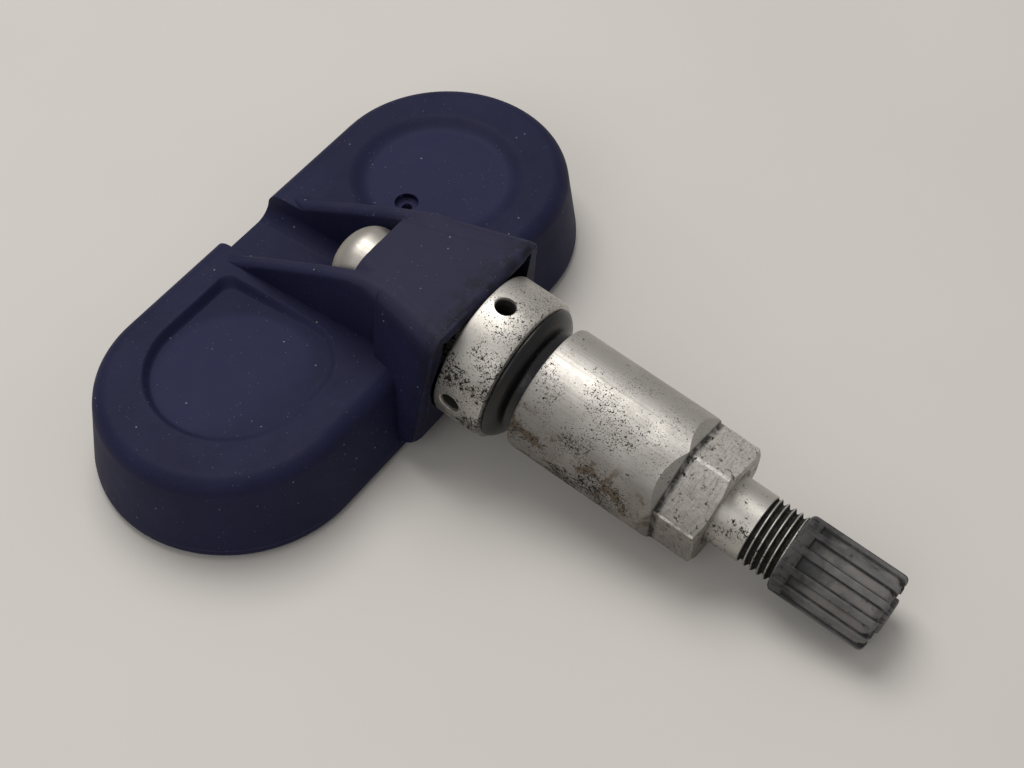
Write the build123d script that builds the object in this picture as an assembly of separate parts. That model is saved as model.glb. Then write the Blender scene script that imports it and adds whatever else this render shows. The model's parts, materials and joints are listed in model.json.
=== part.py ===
from build123d import *
import math
import os

os.makedirs("parts", exist_ok=True)

# Overall frame: X along the housing, the valve stem points to -Y, Z up, base on z = 0.

# Housing
LOBE_X = 18.8           # centre of each round lobe
SIDE_R = 15.05          # plan radius at the parting line
COVER_T = 1.6           # height of the parting line, thickness of the base cover
LOBE_Z = 11.0           # top of the lobes
SIDE_DRAFT = 7.4        # degrees
LOBE_FILLET = 2.0
WALL = 1.6
FLOOR_Z = 7.4           # floor of the valley between the lobes
VALLEY_X = 4.35         # half width of the valley
VALLEY_R = 2.0          # rounding of its floor
WEB_T = 1.7             # thickness of the two sloping webs
WEB_FRONT_Z = 18.8      # top of a web where it meets the hood
WEB_FRONT_Y = -8.6
WEB_CREST_Y = -6.6
WEB_REAR_Y = 10.8       # where a web runs out on its lobe
WEB_EDGE_R = 0.55
RECESS_X = LOBE_X - 1.2     # middle of the recess on either lobe
LABEL_Y = 0.2
LABEL_R = 9.2               # left recess: round, with one square corner
LABEL_CORNER = 9.5
RECESS_R = 9.1          # dish of the right lobe, measured on the lobe top
RECESS_WALL = 45.0      # slope of its wall, degrees
LABEL_DRAFT = 20.0      # slope of the left recess wall, degrees
CAVITY_Z = 5.5          # roof of the board space
CAVITY_R = SIDE_R - WALL - 0.6   # the last term keeps the wall under the side draft
POCKET_Z = 8.3          # roof of the two lobe pockets
POCKET_R = CAVITY_R - 2.25

# Valve axis
TILT = 8.6              # degrees, nose down
COLLAR_Y = -18.8        # rear face of the collar on the axis
CAP_TIP = 50.2          # stations along the axis are measured from that face
CAP_R = 4.42

# Hood
HOOD_Z = 20.0
HOOD_REAR_W = 5.0       # half width of the top at the rear edge
HOOD_FRONT_W = 8.4      # half width of the top at the front edge
HOOD_FOOT_REAR_W = 8.2
HOOD_FOOT_FRONT_W = 10.4
HOOD_REAR_S = -13.4     # station of the screw seat
HOOD_REAR_Y = -7.15     # where the rear widths are measured
HOOD_FLANK_Y = -10.4    # rear end of the flared flanks
HOOD_RIDGE_R = 2.4      # rounding between the top and the flanks
HOOD_LIP_R = 0.9        # rounding of the front edge
HOOD_SOLE_Z = 4.6       # underside of the hood at its front
HOOD_SOLE_Y = -14.6     # where the underside meets the parting line
HOOD_FRONT_S = -0.15
MOUTH_DEPTH = 2.2
MOUTH_WALL = 1.15

# Stem
COLLAR_R = 8.25
COLLAR_L = 5.75
BOSS_R = 4.2
BOSS_END = -10.4
BASE_THREAD_R = 4.5
BASE_THREAD_END = 18.5
STEM_R = 3.87
STEM_END = 47.5
THREAD_R = 3.62         # pitch line of the valve thread
THREAD_START = 34.9
BORE_R = 1.1
PIN_HOLE_R = 1.1
PIN_HOLE_S = 2.1
PIN_HOLE_DEPTH = 2.6
PIN_HOLE_RIM = 0.15     # countersink of the rim

# Fits
RUN = 0.05              # running fit, radial
SEAT = 0.03             # gap where two faces meet
LOOSE = 0.10

# Retaining screw
SCREW_R = 2.5
SCREW_END = -3.0
HEAD_R = 4.45
HEAD_H = 4.3
HEAD_RIM = 1.0          # straight edge of the head below its dome
WASHER_R = 4.75
WASHER_T = 0.7
DRIVE_AF = 3.0
DRIVE_DEPTH = 1.5
VENT_R = 0.8

# Grommet and nut
LIP_R = 7.7
NECK_R = 5.9
NECK_END = 10.2
NUT_START = 8.54
NUT_SHOULDER = 25.9
NUT_END = 30.9
NUT_R = 7.08
HEX_AF = 12.0
HEX_TURN = 41.7
HEX_RUNOUT = 1.15       # length of the slanted shoulder above each flat
THRUST_T = 1.0
THRUST_START = NECK_END + 0.15
COUNTERBORE_R = 6.3
NUT_THREAD_END = 20.0

# Cap
CAP_START = 38.66
CAP_BAND_END = 40.4
CAP_CORE_R = 4.1
CAP_RIBS = 12
CAP_RIB_W = 0.8
CAP_RIB_TURN = 22.7     # degrees
CAP_RIB_END = 49.85
CAP_NUB_R = 2.0
CAP_SEAL_T = 0.9
CAP_SEAL_R = 3.5

# Valve core
CORE_BORE_R = 2.65
CORE_SEAT_S = 41.4
CORE_THROAT_R = 1.95
CORE_THROAT_END = 32.6
CORE_TOP = 46.2
CORE_SKIRT_END = 36.2
CORE_SKIRT_R = 1.7
CORE_SPRING_BORE_R = 1.3
CORE_GUIDE_S = 44.2
CORE_PIN_R = 0.5
CORE_PIN_TOP = 47.0
CORE_PIN_END = 34.2
CORE_LIP_T = 0.4        # inward lip of the skirt that the spring stands on
CORE_LIP_R = 0.7
PIN_COLLAR_R = 1.1      # collar of the pin that the spring pushes on
PIN_COLLAR_T = 0.3
CUP_R = 1.62
CUP_T = 1.1

# Electronics
BOARD_GAP = 0.65        # between the board and the housing wall
BOARD_R = CAVITY_R - BOARD_GAP
BOARD_Z = 4.1
BOARD_T = 1.0
CELL_GAP = 2.6          # around the cell, for the upper tab and the pocket wall
CELL_R = POCKET_R - CELL_GAP
CELL_T = 2.5
TAB_T = 0.25
TAB_W = 3.0
TAB_REACH = 1.4         # how far the upper tab stands out beside the cell
PORT_X = 12.8
PORT_Y = 0.9
PORT_R = 0.6
PORT_DISH_R = 1.35
PORT_DISH_DEPTH = 0.8
CHIP = 5.0
CHIP_H = 2.0
SEAL_R = PORT_R + 1.3
ANTENNA_R = POCKET_R - 1.0
ANTENNA_T = 0.7
ANTENNA_H = 1.4
CRYSTAL_L = 3.2
CRYSTAL_W = 2.5
CRYSTAL_H = 0.9
CRYSTAL_X = LOBE_X + 1.8
CRYSTAL_Y = -4.15
CAP_L = 1.0             # the block capacitors
CAP_W = 1.8
CAP_H = 0.8
CAP_PITCH = 1.6
CAP_Y = 4.0
WIDE = 8 * LOBE_X       # side of the cutting blocks, wider than the part

_tilt = math.radians(TILT)
# The axis height puts the lowest edge of the cap on the ground plane.
COLLAR_Z = CAP_TIP * math.sin(_tilt) + CAP_R * math.cos(_tilt) + 0.02
AXIS = Plane(
    origin=(0, COLLAR_Y, COLLAR_Z), x_dir=(1, 0, 0),
    z_dir=(0, -math.cos(_tilt), -math.sin(_tilt)))
UPRIGHT = (Align.CENTER, Align.CENTER, Align.MIN)


def turned(points):
    """A solid of revolution about the axis from (radius, station) pairs."""
    profile = make_face(Polyline([(r, 0, s) for r, s in points], close=True))
    return revolve(profile, Axis.Z, 360)


def tube(outer, inner, start, end):
    """A plain ring between two stations."""
    return turned([(inner, start), (outer, start), (outer, end), (inner, end)])


def rod(radius, start, end):
    """A plain cylinder between two stations."""
    return Pos(0, 0, start) * Cylinder(radius, end - start, align=UPRIGHT)


def on_axis(shape):
    """Moves a piece from the valve's own coordinates to the housing's."""
    return AXIS.location * shape


def save(shape, node):
    """Writes one node."""
    export_step(shape, f"parts/{node}.step")


def stadium(radius):
    """The plan of the housing as a flat face."""
    return SlotCenterToCenter(2 * LOBE_X, 2 * radius)


def slab(radius, z0, z1):
    """A stadium-shaped plate."""
    return Pos(0, 0, z0) * extrude(stadium(radius), z1 - z0)


def block(x0, x1, y0, y1, z0, z1):
    """A box from its limits."""
    size = (x1 - x0, y1 - y0, z1 - z0)
    return Pos((x0 + x1) / 2, (y0 + y1) / 2, (z0 + z1) / 2) * Box(*size)


def half_space(start, end):
    """A wide block between two stations of the axis."""
    height = end - start
    return on_axis(Pos(0, 0, start) * Box(WIDE, WIDE, height, align=UPRIGHT))


def plate_face(points, z):
    """A flat polygon at one height."""
    return make_face(Polyline([(x, y, z) for x, y in points], close=True))


def lobe_body():
    """The drafted two-lobed body with its rounded top edge."""
    body = Pos(0, 0, COVER_T) * extrude(stadium(SIDE_R), LOBE_Z - COVER_T, taper=SIDE_DRAFT)
    top = body.edges().group_by(Axis.Z)[-1]
    return fillet(top, LOBE_FILLET)


def hood_outline(w_rear, w_front, z):
    """The hood's plan at one height, from its widths at the rear and at the collar."""
    def width(y):
        return w_rear + (w_front - w_rear) * (y - HOOD_REAR_Y) / (COLLAR_Y - 1.2 - HOOD_REAR_Y)
    rear, front = 0.0, COLLAR_Y - 7.0
    corners = [(-width(rear), rear), (width(rear), rear), (width(front), front), (-width(front), front)]
    return plate_face(corners, z)


def hood_sole():
    """The space under the hood's front, which rises from the parting line."""
    front = COLLAR_Y - 20.0
    slope = (HOOD_SOLE_Z - COVER_T) / (COLLAR_Y - HOOD_SOLE_Y)
    rise = COVER_T + slope * (front - HOOD_SOLE_Y)
    points = [(HOOD_SOLE_Y, COVER_T), (front, rise), (front, -5), (HOOD_SOLE_Y, -5)]
    face = make_face(Polyline([(-30, y, z) for y, z in points], close=True))
    return extrude(face, 60, dir=(1, 0, 0))


def hood_body():
    """The tapered hood that carries the valve, cut square to the valve axis at both ends."""
    solid = loft([
        hood_outline(HOOD_FOOT_REAR_W, HOOD_FOOT_FRONT_W, COVER_T),
        hood_outline(HOOD_REAR_W, HOOD_FRONT_W, HOOD_Z)])
    ridges = [e for e in solid.edges() if e.center().Z > HOOD_Z - 0.5 and abs(e.center().X) > 1.0]
    solid = fillet(ridges, HOOD_RIDGE_R)
    solid = (solid & half_space(HOOD_REAR_S, HOOD_FRONT_S)) - hood_sole()
    front = solid.faces().sort_by(Axis.Y)[0]
    lip = [e for e in front.edges() if e.center().Z > HOOD_SOLE_Z + 1.0]
    return fillet(lip, HOOD_LIP_R)


def web(side):
    """One sloping web from the hood's rear corner down to the rear of a lobe."""
    points = [(WEB_FRONT_Y, FLOOR_Z - 2), (WEB_FRONT_Y, WEB_FRONT_Z), (WEB_CREST_Y, WEB_FRONT_Z)]
    points += [(WEB_REAR_Y, LOBE_Z - 0.6), (WEB_REAR_Y, FLOOR_Z - 2)]
    face = make_face(Polyline([(VALLEY_X, y, z) for y, z in points], close=True))
    plate = extrude(face, WEB_T, dir=(1, 0, 0))
    rims = [e for e in plate.edges() if e.center().Z > LOBE_Z + 1.0 and e.length > 1.9]
    rims = [e for e in rims if e.center().Y > WEB_FRONT_Y + WEB_EDGE_R]
    plate = fillet([e for e in rims if abs(e.center().X - VALLEY_X - WEB_T / 2) > 0.1], WEB_EDGE_R)
    return plate if side > 0 else mirror(plate, Plane.YZ)


def valley_cut():
    """The open channel behind the hood."""
    channel = block(-VALLEY_X, VALLEY_X, -20.0, 20.0, FLOOR_Z, 30.0)
    corners = [e for e in channel.edges().group_by(Axis.Z)[0] if abs(e.center().X) > 1.0]
    return fillet(corners, VALLEY_R) & half_space(-60.0, HOOD_REAR_S)


def flank_cut(side):
    """The open space beside a web, which ends at the hood's flared flank."""
    x0 = VALLEY_X + WEB_T
    space = block(x0, x0 + 8.0, HOOD_FLANK_Y, 8.0, LOBE_Z, 30.0)
    return space if side > 0 else mirror(space, Plane.YZ)


def left_recess():
    """The shallow label recess of the left lobe, its floor sloping up to the outer front."""
    corner = Pos(LABEL_CORNER / 2, LABEL_R / 2) * Rectangle(LABEL_CORNER, LABEL_R)
    outline = Pos(-RECESS_X, LABEL_Y) * (Circle(LABEL_R) + corner)
    prism = Pos(0, 0, LOBE_Z - 1.5) * extrude(outline, 3.0, taper=-LABEL_DRAFT)
    deep = (LABEL_CORNER - RECESS_X, LABEL_Y + LABEL_R, LOBE_Z - 1.2)
    slope = Plane(origin=deep, z_dir=(0.036, 0.050, 1))
    return prism & (slope.location * Box(WIDE, WIDE, LOBE_Z, align=UPRIGHT))


def right_recess():
    """The round dish of the right lobe, its floor sloping down towards the middle."""
    reach = 2.0 * math.tan(math.radians(RECESS_WALL))
    cone = Cone(RECESS_R - reach, RECESS_R + reach, 4.0)
    prism = Pos(RECESS_X, LABEL_Y, LOBE_Z) * cone
    slope = Plane(origin=(RECESS_X - RECESS_R + 0.5, LABEL_Y, LOBE_Z - 1.0), z_dir=(-0.050, 0, 1))
    return prism & (slope.location * Box(WIDE, WIDE, LOBE_Z, align=UPRIGHT))


def inner_space():
    """The room for the board and the two lobe pockets."""
    space = slab(SIDE_R - WALL - 0.6, COVER_T - 1, CAVITY_Z)
    for x in (-LOBE_X, LOBE_X):
        space += Pos(x, 0, CAVITY_Z - 0.5) * Cylinder(
            POCKET_R, POCKET_Z - CAVITY_Z + 0.5, align=UPRIGHT)
    return space


def mouth_cut():
    """The hollow front of the hood, the stem's bore and the screw hole."""
    low = HOOD_SOLE_Z + MOUTH_WALL
    high = HOOD_Z - MOUTH_WALL
    mouth = on_axis(rod(HOOD_FRONT_W - 0.25, HOOD_FRONT_S - MOUTH_DEPTH, 1.0))
    mouth &= block(-20, 20, -40, 0, low, high)
    half = HOOD_FRONT_W - MOUTH_WALL
    corner = half_space(HOOD_FRONT_S - MOUTH_DEPTH, 1.0) & block(-half, half, -40, 0, COLLAR_Z, high)
    bore = on_axis(rod(BOSS_R + SEAT, BOSS_END - SEAT, 1.0))
    hole = on_axis(rod(SCREW_R + LOOSE, HOOD_REAR_S - 1.0, BOSS_END + 1.0))
    return mouth, corner, bore, hole


def port():
    """The pressure port: a small dish in the right lobe with a hole through its floor."""
    dish_z = LOBE_Z - 0.8 - PORT_DISH_DEPTH
    hole = Pos(PORT_X, PORT_Y, POCKET_Z - 1) * Cylinder(PORT_R, 8, align=UPRIGHT)
    return hole + Pos(PORT_X, PORT_Y, dish_z) * Cylinder(PORT_DISH_R, 5, align=UPRIGHT)


def make_housing():
    """The moulded housing: lobes, valley, webs, hood, recesses, port and inner space."""
    body = lobe_body() + hood_body()
    for side in (1, -1):
        body -= flank_cut(side)
        body += web(side)
    body -= valley_cut()
    body -= left_recess()
    body -= right_recess()
    body -= inner_space()
    for cut in mouth_cut():
        body -= cut
    body -= on_axis(rod(WASHER_R + 0.15, HOOD_REAR_S - 5.0, HOOD_REAR_S))
    return body - port()


def make_base_cover():
    """The flat cover that closes the underside."""
    plate = slab(SIDE_R, 0, COVER_T)
    plate = chamfer(plate.edges().group_by(Axis.Z)[0], 0.7)
    return plate


def make_circuit_board():
    """The printed circuit board."""
    return slab(BOARD_R, BOARD_Z, BOARD_Z + BOARD_T)


def make_battery():
    """The coin cell and its two contact tabs."""
    z0 = BOARD_Z + BOARD_T
    lower = Pos(-LOBE_X, 0, z0) * extrude(Rectangle(2 * CELL_R - 2 * TAB_W / 3, TAB_W), TAB_T)
    z1 = z0 + TAB_T
    cell = Pos(-LOBE_X, 0, z1) * Cylinder(CELL_R, CELL_T, align=UPRIGHT)
    cell = fillet(cell.edges().group_by(Axis.Z)[-1], 0.4)
    z2 = z1 + CELL_T
    end = -LOBE_X + CELL_R + TAB_REACH
    half = TAB_W / 2
    upper = block(-LOBE_X - CELL_R / 2, end, -half, half, z2, z2 + TAB_T)
    post = block(end - TAB_T, end, -half, half, z0, z2 + TAB_T)
    return cell, upper + post, lower


def make_sensor_chip():
    """The pressure sensing package under the port."""
    z0 = BOARD_Z + BOARD_T
    chip = Box(CHIP, CHIP, CHIP_H, align=UPRIGHT)
    hole = Pos(0, 0, CHIP_H - 0.8) * Cylinder(0.5, 2, align=UPRIGHT)
    return Pos(PORT_X, PORT_Y, z0) * (chip - hole)


def make_port_seal():
    """The soft ring between the sensing package and the port."""
    z0 = BOARD_Z + BOARD_T + CHIP_H
    ring = Cylinder(SEAL_R, POCKET_Z - z0, align=UPRIGHT)
    ring -= Cylinder(PORT_R, POCKET_Z - z0, align=UPRIGHT)
    return Pos(PORT_X, PORT_Y, z0) * ring


def make_rf_crystal():
    """The metal-canned crystal on the board."""
    z0 = BOARD_Z + BOARD_T
    can = Pos(CRYSTAL_X, CRYSTAL_Y, z0) * Box(CRYSTAL_L, CRYSTAL_W, CRYSTAL_H, align=UPRIGHT)
    return fillet(can.edges().group_by(Axis.Z)[-1], 0.25)


def make_capacitors():
    """The small block capacitors on the board."""
    z0 = BOARD_Z + BOARD_T
    chip = Box(CAP_L, CAP_W, CAP_H, align=UPRIGHT)
    return Compound([Pos(LOBE_X + CAP_PITCH * (k - 0.5), CAP_Y, z0) * chip for k in range(4)])


def make_antenna():
    """The open loop antenna around the right lobe."""
    z0 = BOARD_Z + BOARD_T
    ring = Cylinder(ANTENNA_R, ANTENNA_H, align=UPRIGHT)
    ring -= Cylinder(ANTENNA_R - ANTENNA_T, ANTENNA_H, align=UPRIGHT)
    gap = block(-2 * ANTENNA_R, 0.1 * ANTENNA_R, -2 * ANTENNA_R, 2 * ANTENNA_R, -ANTENNA_H, 2 * ANTENNA_H)
    return Pos(LOBE_X, 0, z0) * (ring - gap)


def pin_hole():
    """One countersunk radial hole for the holding pin."""
    wide = PIN_HOLE_R + PIN_HOLE_RIM
    half = turned([
        (0, -PIN_HOLE_DEPTH), (PIN_HOLE_R, -PIN_HOLE_DEPTH), (PIN_HOLE_R, -PIN_HOLE_RIM),
        (wide, 0), (wide, 1), (0, 1)])
    return Pos(COLLAR_R, 0, PIN_HOLE_S) * Rot(0, 90, 0) * half


def make_valve_stem():
    """The turned valve stem with its collar, base thread, bore and core chamber."""
    c = 0.4
    outer = turned([
        (0, BOSS_END), (BOSS_R - c, BOSS_END), (BOSS_R, BOSS_END + c), (BOSS_R, 0),
        (COLLAR_R - c, 0), (COLLAR_R, c), (COLLAR_R, COLLAR_L - c), (COLLAR_R - c, COLLAR_L),
        (BASE_THREAD_R, COLLAR_L), (BASE_THREAD_R, BASE_THREAD_END - 0.6), (STEM_R, BASE_THREAD_END),
        (STEM_R, THREAD_START - 0.25), (THREAD_R, THREAD_START), (THREAD_R, STEM_END - 0.4),
        (THREAD_R - 0.4, STEM_END), (0, STEM_END)])
    bore = turned([
        (0, BOSS_END - 1), (SCREW_R + SEAT, BOSS_END - 1), (SCREW_R + SEAT, SCREW_END + 0.5),
        (BORE_R, SCREW_END + 1.9), (BORE_R, CORE_THROAT_END - 0.8),
        (CORE_THROAT_R, CORE_THROAT_END), (CORE_THROAT_R, CORE_SEAT_S),
        (CORE_BORE_R, CORE_SEAT_S), (CORE_BORE_R, STEM_END + 1), (0, STEM_END + 1)])
    stem = outer - bore
    for k in range(4):
        stem -= Rot(0, 0, 90 * k) * pin_hole()
    return on_axis(stem)


def make_retaining_screw():
    """The hollow domed screw that holds the stem in the hood."""
    seat = HOOD_REAR_S - WASHER_T
    rise = HEAD_H - HEAD_RIM
    angles = [math.radians(10 * k) for k in range(0, 9)]
    dome = [(HEAD_R * math.cos(a), seat - HEAD_RIM - rise * math.sin(a)) for a in angles]
    profile = [(VENT_R, SCREW_END), (SCREW_R - 0.4, SCREW_END), (SCREW_R, SCREW_END - 0.4), (SCREW_R, seat)]
    profile += [(HEAD_R, seat)] + dome + [(VENT_R, seat - HEAD_H)]
    screw = turned(profile)
    socket = extrude(RegularPolygon(DRIVE_AF / 2, 6, major_radius=False), DRIVE_DEPTH + 1)
    return on_axis(screw - Pos(0, 0, seat - HEAD_H - 1) * socket)


def make_screw_washer():
    """The flat washer under the screw's head."""
    return on_axis(tube(WASHER_R, SCREW_R + LOOSE, HOOD_REAR_S - WASHER_T, HOOD_REAR_S))


def make_grommet():
    """The rubber grommet that seals the wheel rim's hole."""
    return on_axis(turned([
        (BASE_THREAD_R + SEAT, COLLAR_L), (LIP_R - 0.15, COLLAR_L), (LIP_R, COLLAR_L + 0.25),
        (LIP_R - 0.2, COLLAR_L + 0.65), (LIP_R - 0.7, COLLAR_L + 1.15), (NECK_R + 0.3, COLLAR_L + 1.55),
        (NECK_R, COLLAR_L + 1.75), (NECK_R, NECK_END - 0.3), (NECK_R - 0.3, NECK_END),
        (BASE_THREAD_R + SEAT, NECK_END)]))


def hexagon(across):
    """The nut's hexagon at one width across its flats."""
    return Rot(0, 0, HEX_TURN) * RegularPolygon(across / 2, 6, major_radius=False)


def nut_runout():
    """What the milled flats leave open of the sleeve's end: a slanted shoulder above each flat."""
    grow = NUT_R - HEX_AF / 2 + 1.0
    start = NUT_SHOULDER - HEX_RUNOUT * grow / (NUT_R - HEX_AF / 2)
    core = loft([
        Pos(0, 0, start) * hexagon(HEX_AF + 2 * grow), Pos(0, 0, NUT_SHOULDER) * hexagon(HEX_AF)])
    return rod(NUT_R + 1.0, start, NUT_SHOULDER) - core


def make_union_nut():
    """The long sleeve nut with a hexagonal end."""
    c = 0.5
    thrust_end = THRUST_START + THRUST_T + 0.05
    sleeve = turned([
        (0, NUT_START), (NUT_R - c, NUT_START), (NUT_R, NUT_START + c),
        (NUT_R, NUT_SHOULDER), (0, NUT_SHOULDER)])
    sleeve -= nut_runout()
    head = Pos(0, 0, NUT_SHOULDER - 2) * extrude(hexagon(HEX_AF), NUT_END - NUT_SHOULDER + 2)
    crown = turned([
        (0, NUT_SHOULDER - 3), (9, NUT_SHOULDER - 3), (9, NUT_END - 1.35), (6.35, NUT_END), (0, NUT_END)])
    inner = turned([
        (0, NUT_START - 1), (COUNTERBORE_R, NUT_START - 1), (COUNTERBORE_R, thrust_end),
        (BASE_THREAD_R + RUN, thrust_end), (BASE_THREAD_R + RUN, NUT_THREAD_END - 0.6),
        (STEM_R + RUN + 0.03, NUT_THREAD_END), (STEM_R + RUN + 0.03, NUT_END - 0.5),
        (STEM_R + 0.6, NUT_END), (STEM_R + 0.6, NUT_END + 1), (0, NUT_END + 1)])
    return on_axis(sleeve + (head & crown) - inner)


def make_thrust_washer():
    """The captive washer in the mouth of the nut."""
    return on_axis(tube(COUNTERBORE_R - RUN, BASE_THREAD_R + RUN, THRUST_START, THRUST_START + THRUST_T))


def make_valve_cap():
    """The ribbed dust cap."""
    seal_end = STEM_END + 0.05 + CAP_SEAL_T
    bore = THREAD_R + RUN
    top = CAP_TIP
    shell = turned([
        (0, CAP_START), (CAP_R - 0.3, CAP_START), (CAP_R - 0.1, CAP_START + 0.2),
        (CAP_R - 0.1, CAP_BAND_END - 0.2), (CAP_CORE_R, CAP_BAND_END), (CAP_CORE_R, top - 1.4),
        (CAP_CORE_R - 0.2, top - 0.95), (CAP_CORE_R - 0.7, top - 0.6), (CAP_NUB_R, top - 0.55),
        (CAP_NUB_R, top - 0.2), (CAP_NUB_R - 0.2, top), (0, top)])
    rib_start = CAP_BAND_END - 0.3
    rib = extrude(Pos(CAP_R - 0.45, 0) * Rectangle(0.9, CAP_RIB_W), CAP_RIB_END - rib_start)
    rib = (Pos(0, 0, rib_start) * rib) & rod(CAP_R, CAP_START, top)
    for k in range(CAP_RIBS):
        shell += Rot(0, 0, CAP_RIB_TURN + 360 / CAP_RIBS * k) * rib
    cavity = turned([
        (0, CAP_START - 1), (bore + 0.3, CAP_START - 1), (bore + 0.3, CAP_START), (bore, CAP_START + 0.4),
        (bore, STEM_END), (CAP_SEAL_R + RUN, STEM_END), (CAP_SEAL_R + RUN, seal_end), (0, seal_end)])
    return on_axis(shell - cavity)


def make_cap_seal():
    """The soft disc in the end of the cap."""
    start = STEM_END + 0.05
    return on_axis(rod(CAP_SEAL_R, start, start + CAP_SEAL_T - 0.03))


def make_core_barrel():
    """The brass body of the valve core."""
    return on_axis(turned([
        (CORE_PIN_R + RUN, CORE_TOP), (CORE_BORE_R - SEAT - 0.3, CORE_TOP),
        (CORE_BORE_R - SEAT, CORE_TOP - 0.3), (CORE_BORE_R - SEAT, CORE_SEAT_S + 1.2),
        (CORE_SKIRT_R, CORE_SEAT_S + 1.0), (CORE_SKIRT_R, CORE_SKIRT_END), (CORE_LIP_R, CORE_SKIRT_END),
        (CORE_LIP_R, CORE_SKIRT_END + CORE_LIP_T), (CORE_SPRING_BORE_R, CORE_SKIRT_END + CORE_LIP_T),
        (CORE_SPRING_BORE_R, CORE_GUIDE_S), (CORE_PIN_R + RUN, CORE_GUIDE_S)]))


def make_core_gasket():
    """The soft seat ring around the core's skirt."""
    return on_axis(tube(CORE_BORE_R - SEAT, CORE_SKIRT_R + SEAT, CORE_SEAT_S, CORE_SEAT_S + 0.95))


def make_core_pin():
    """The sliding pin of the valve core."""
    stop = CORE_GUIDE_S - SEAT
    return on_axis(turned([
        (0, CORE_PIN_END), (CORE_PIN_R, CORE_PIN_END), (CORE_PIN_R, stop - PIN_COLLAR_T),
        (PIN_COLLAR_R, stop - PIN_COLLAR_T), (PIN_COLLAR_R, stop), (CORE_PIN_R, stop),
        (CORE_PIN_R, CORE_PIN_TOP - 0.15), (CORE_PIN_R - 0.15, CORE_PIN_TOP), (0, CORE_PIN_TOP)]))


def make_core_spring():
    """The return spring around the pin."""
    wire = 0.13
    radius = 0.92
    start = CORE_SKIRT_END + CORE_LIP_T + wire + SEAT
    height = CORE_GUIDE_S - SEAT - PIN_COLLAR_T - wire - SEAT - start
    path = Pos(0, 0, start) * Helix(height / 6, height, radius)
    profile = Plane(origin=path @ 0, z_dir=path % 0) * Circle(wire)
    return on_axis(sweep(profile, path))


def make_core_cup():
    """The cup on the pin's inner end."""
    end = CORE_SKIRT_END - 0.45
    return on_axis(tube(CUP_R, CORE_PIN_R, end - CUP_T, end))


def make_core_cup_seal():
    """The soft ring on the cup that closes the core's skirt."""
    end = CORE_SKIRT_END - 0.45
    return on_axis(tube(CUP_R, CORE_PIN_R, end, CORE_SKIRT_END - SEAT))


def build():
    """Makes and writes every piece."""
    cell, tab_top, tab_bottom = make_battery()
    pieces = {
        "housing": make_housing(),
        "base_cover": make_base_cover(),
        "circuit_board": make_circuit_board(),
        "coin_cell": cell,
        "battery_tab_top": tab_top,
        "battery_tab_bottom": tab_bottom,
        "sensor_chip": make_sensor_chip(),
        "port_seal": make_port_seal(),
        "rf_crystal": make_rf_crystal(),
        "capacitors": make_capacitors(),
        "antenna": make_antenna(),
        "valve_stem": make_valve_stem(),
        "retaining_screw": make_retaining_screw(),
        "screw_washer": make_screw_washer(),
        "grommet": make_grommet(),
        "union_nut": make_union_nut(),
        "nut_thrust_washer": make_thrust_washer(),
        "valve_cap": make_valve_cap(),
        "cap_seal": make_cap_seal(),
        "core_barrel": make_core_barrel(),
        "core_gasket": make_core_gasket(),
        "core_pin": make_core_pin(),
        "core_spring": make_core_spring(),
        "core_cup": make_core_cup(),
        "core_cup_seal": make_core_cup_seal(),
    }
    for node, shape in pieces.items():
        save(shape, node)


if __name__ == "__main__":
    build()
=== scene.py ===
"""Dresses the tyre pressure sensor: moulded housing, turned valve, sleeve nut, grommet and dust cap."""

import json
import logging
import math
from dataclasses import dataclass, field
from enum import Enum
from typing import Any, Iterable, Sequence, Union

import bmesh
import bpy
from mathutils import Matrix, Vector
from mathutils.kdtree import KDTree


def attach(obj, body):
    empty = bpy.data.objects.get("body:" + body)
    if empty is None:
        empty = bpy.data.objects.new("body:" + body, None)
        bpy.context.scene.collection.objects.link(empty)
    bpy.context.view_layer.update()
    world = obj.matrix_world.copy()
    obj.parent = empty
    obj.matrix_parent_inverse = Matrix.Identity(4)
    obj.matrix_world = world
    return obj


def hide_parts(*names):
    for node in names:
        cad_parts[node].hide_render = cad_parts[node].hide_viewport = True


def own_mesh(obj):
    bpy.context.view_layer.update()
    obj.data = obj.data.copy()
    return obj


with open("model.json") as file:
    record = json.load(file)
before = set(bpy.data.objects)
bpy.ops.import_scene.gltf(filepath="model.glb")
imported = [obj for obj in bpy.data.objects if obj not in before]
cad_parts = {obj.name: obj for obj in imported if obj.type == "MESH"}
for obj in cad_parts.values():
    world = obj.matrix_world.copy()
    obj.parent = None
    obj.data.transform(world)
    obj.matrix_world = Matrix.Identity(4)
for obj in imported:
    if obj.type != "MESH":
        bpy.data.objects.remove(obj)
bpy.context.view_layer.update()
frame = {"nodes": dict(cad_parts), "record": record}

LOG = logging.getLogger("sensor")
MM = 0.001
# Face attribute on convex roundings: worn edges that also carry a painted edge highlight.
EDGE_WEAR_AND_HIGHLIGHT = "wear"
TO_METRES = Matrix.Scale(MM, 4)
MERGE_DISTANCE = 0.002
SLIVER = 0.003
DOUBLES = 0.0005
FLAT_ANGLE = 0.6
SHARP = 32.0
LOWEST = (-99.0, -99.0, -99.0)
HIGHEST = (99.0, 99.0, 99.0)
BEYOND = 1000.0

Point2 = tuple[float, float]
Point3 = tuple[float, float, float]
Colour = tuple[float, float, float]


class Body(Enum):
    """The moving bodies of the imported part."""

    SENSOR = "sensor"
    NUT = "nut"
    CAP = "cap"


class Layout(Enum):
    """Which coordinates a finish is laid out in."""

    HOUSING = "housing"
    VALVE = "valve"


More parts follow.
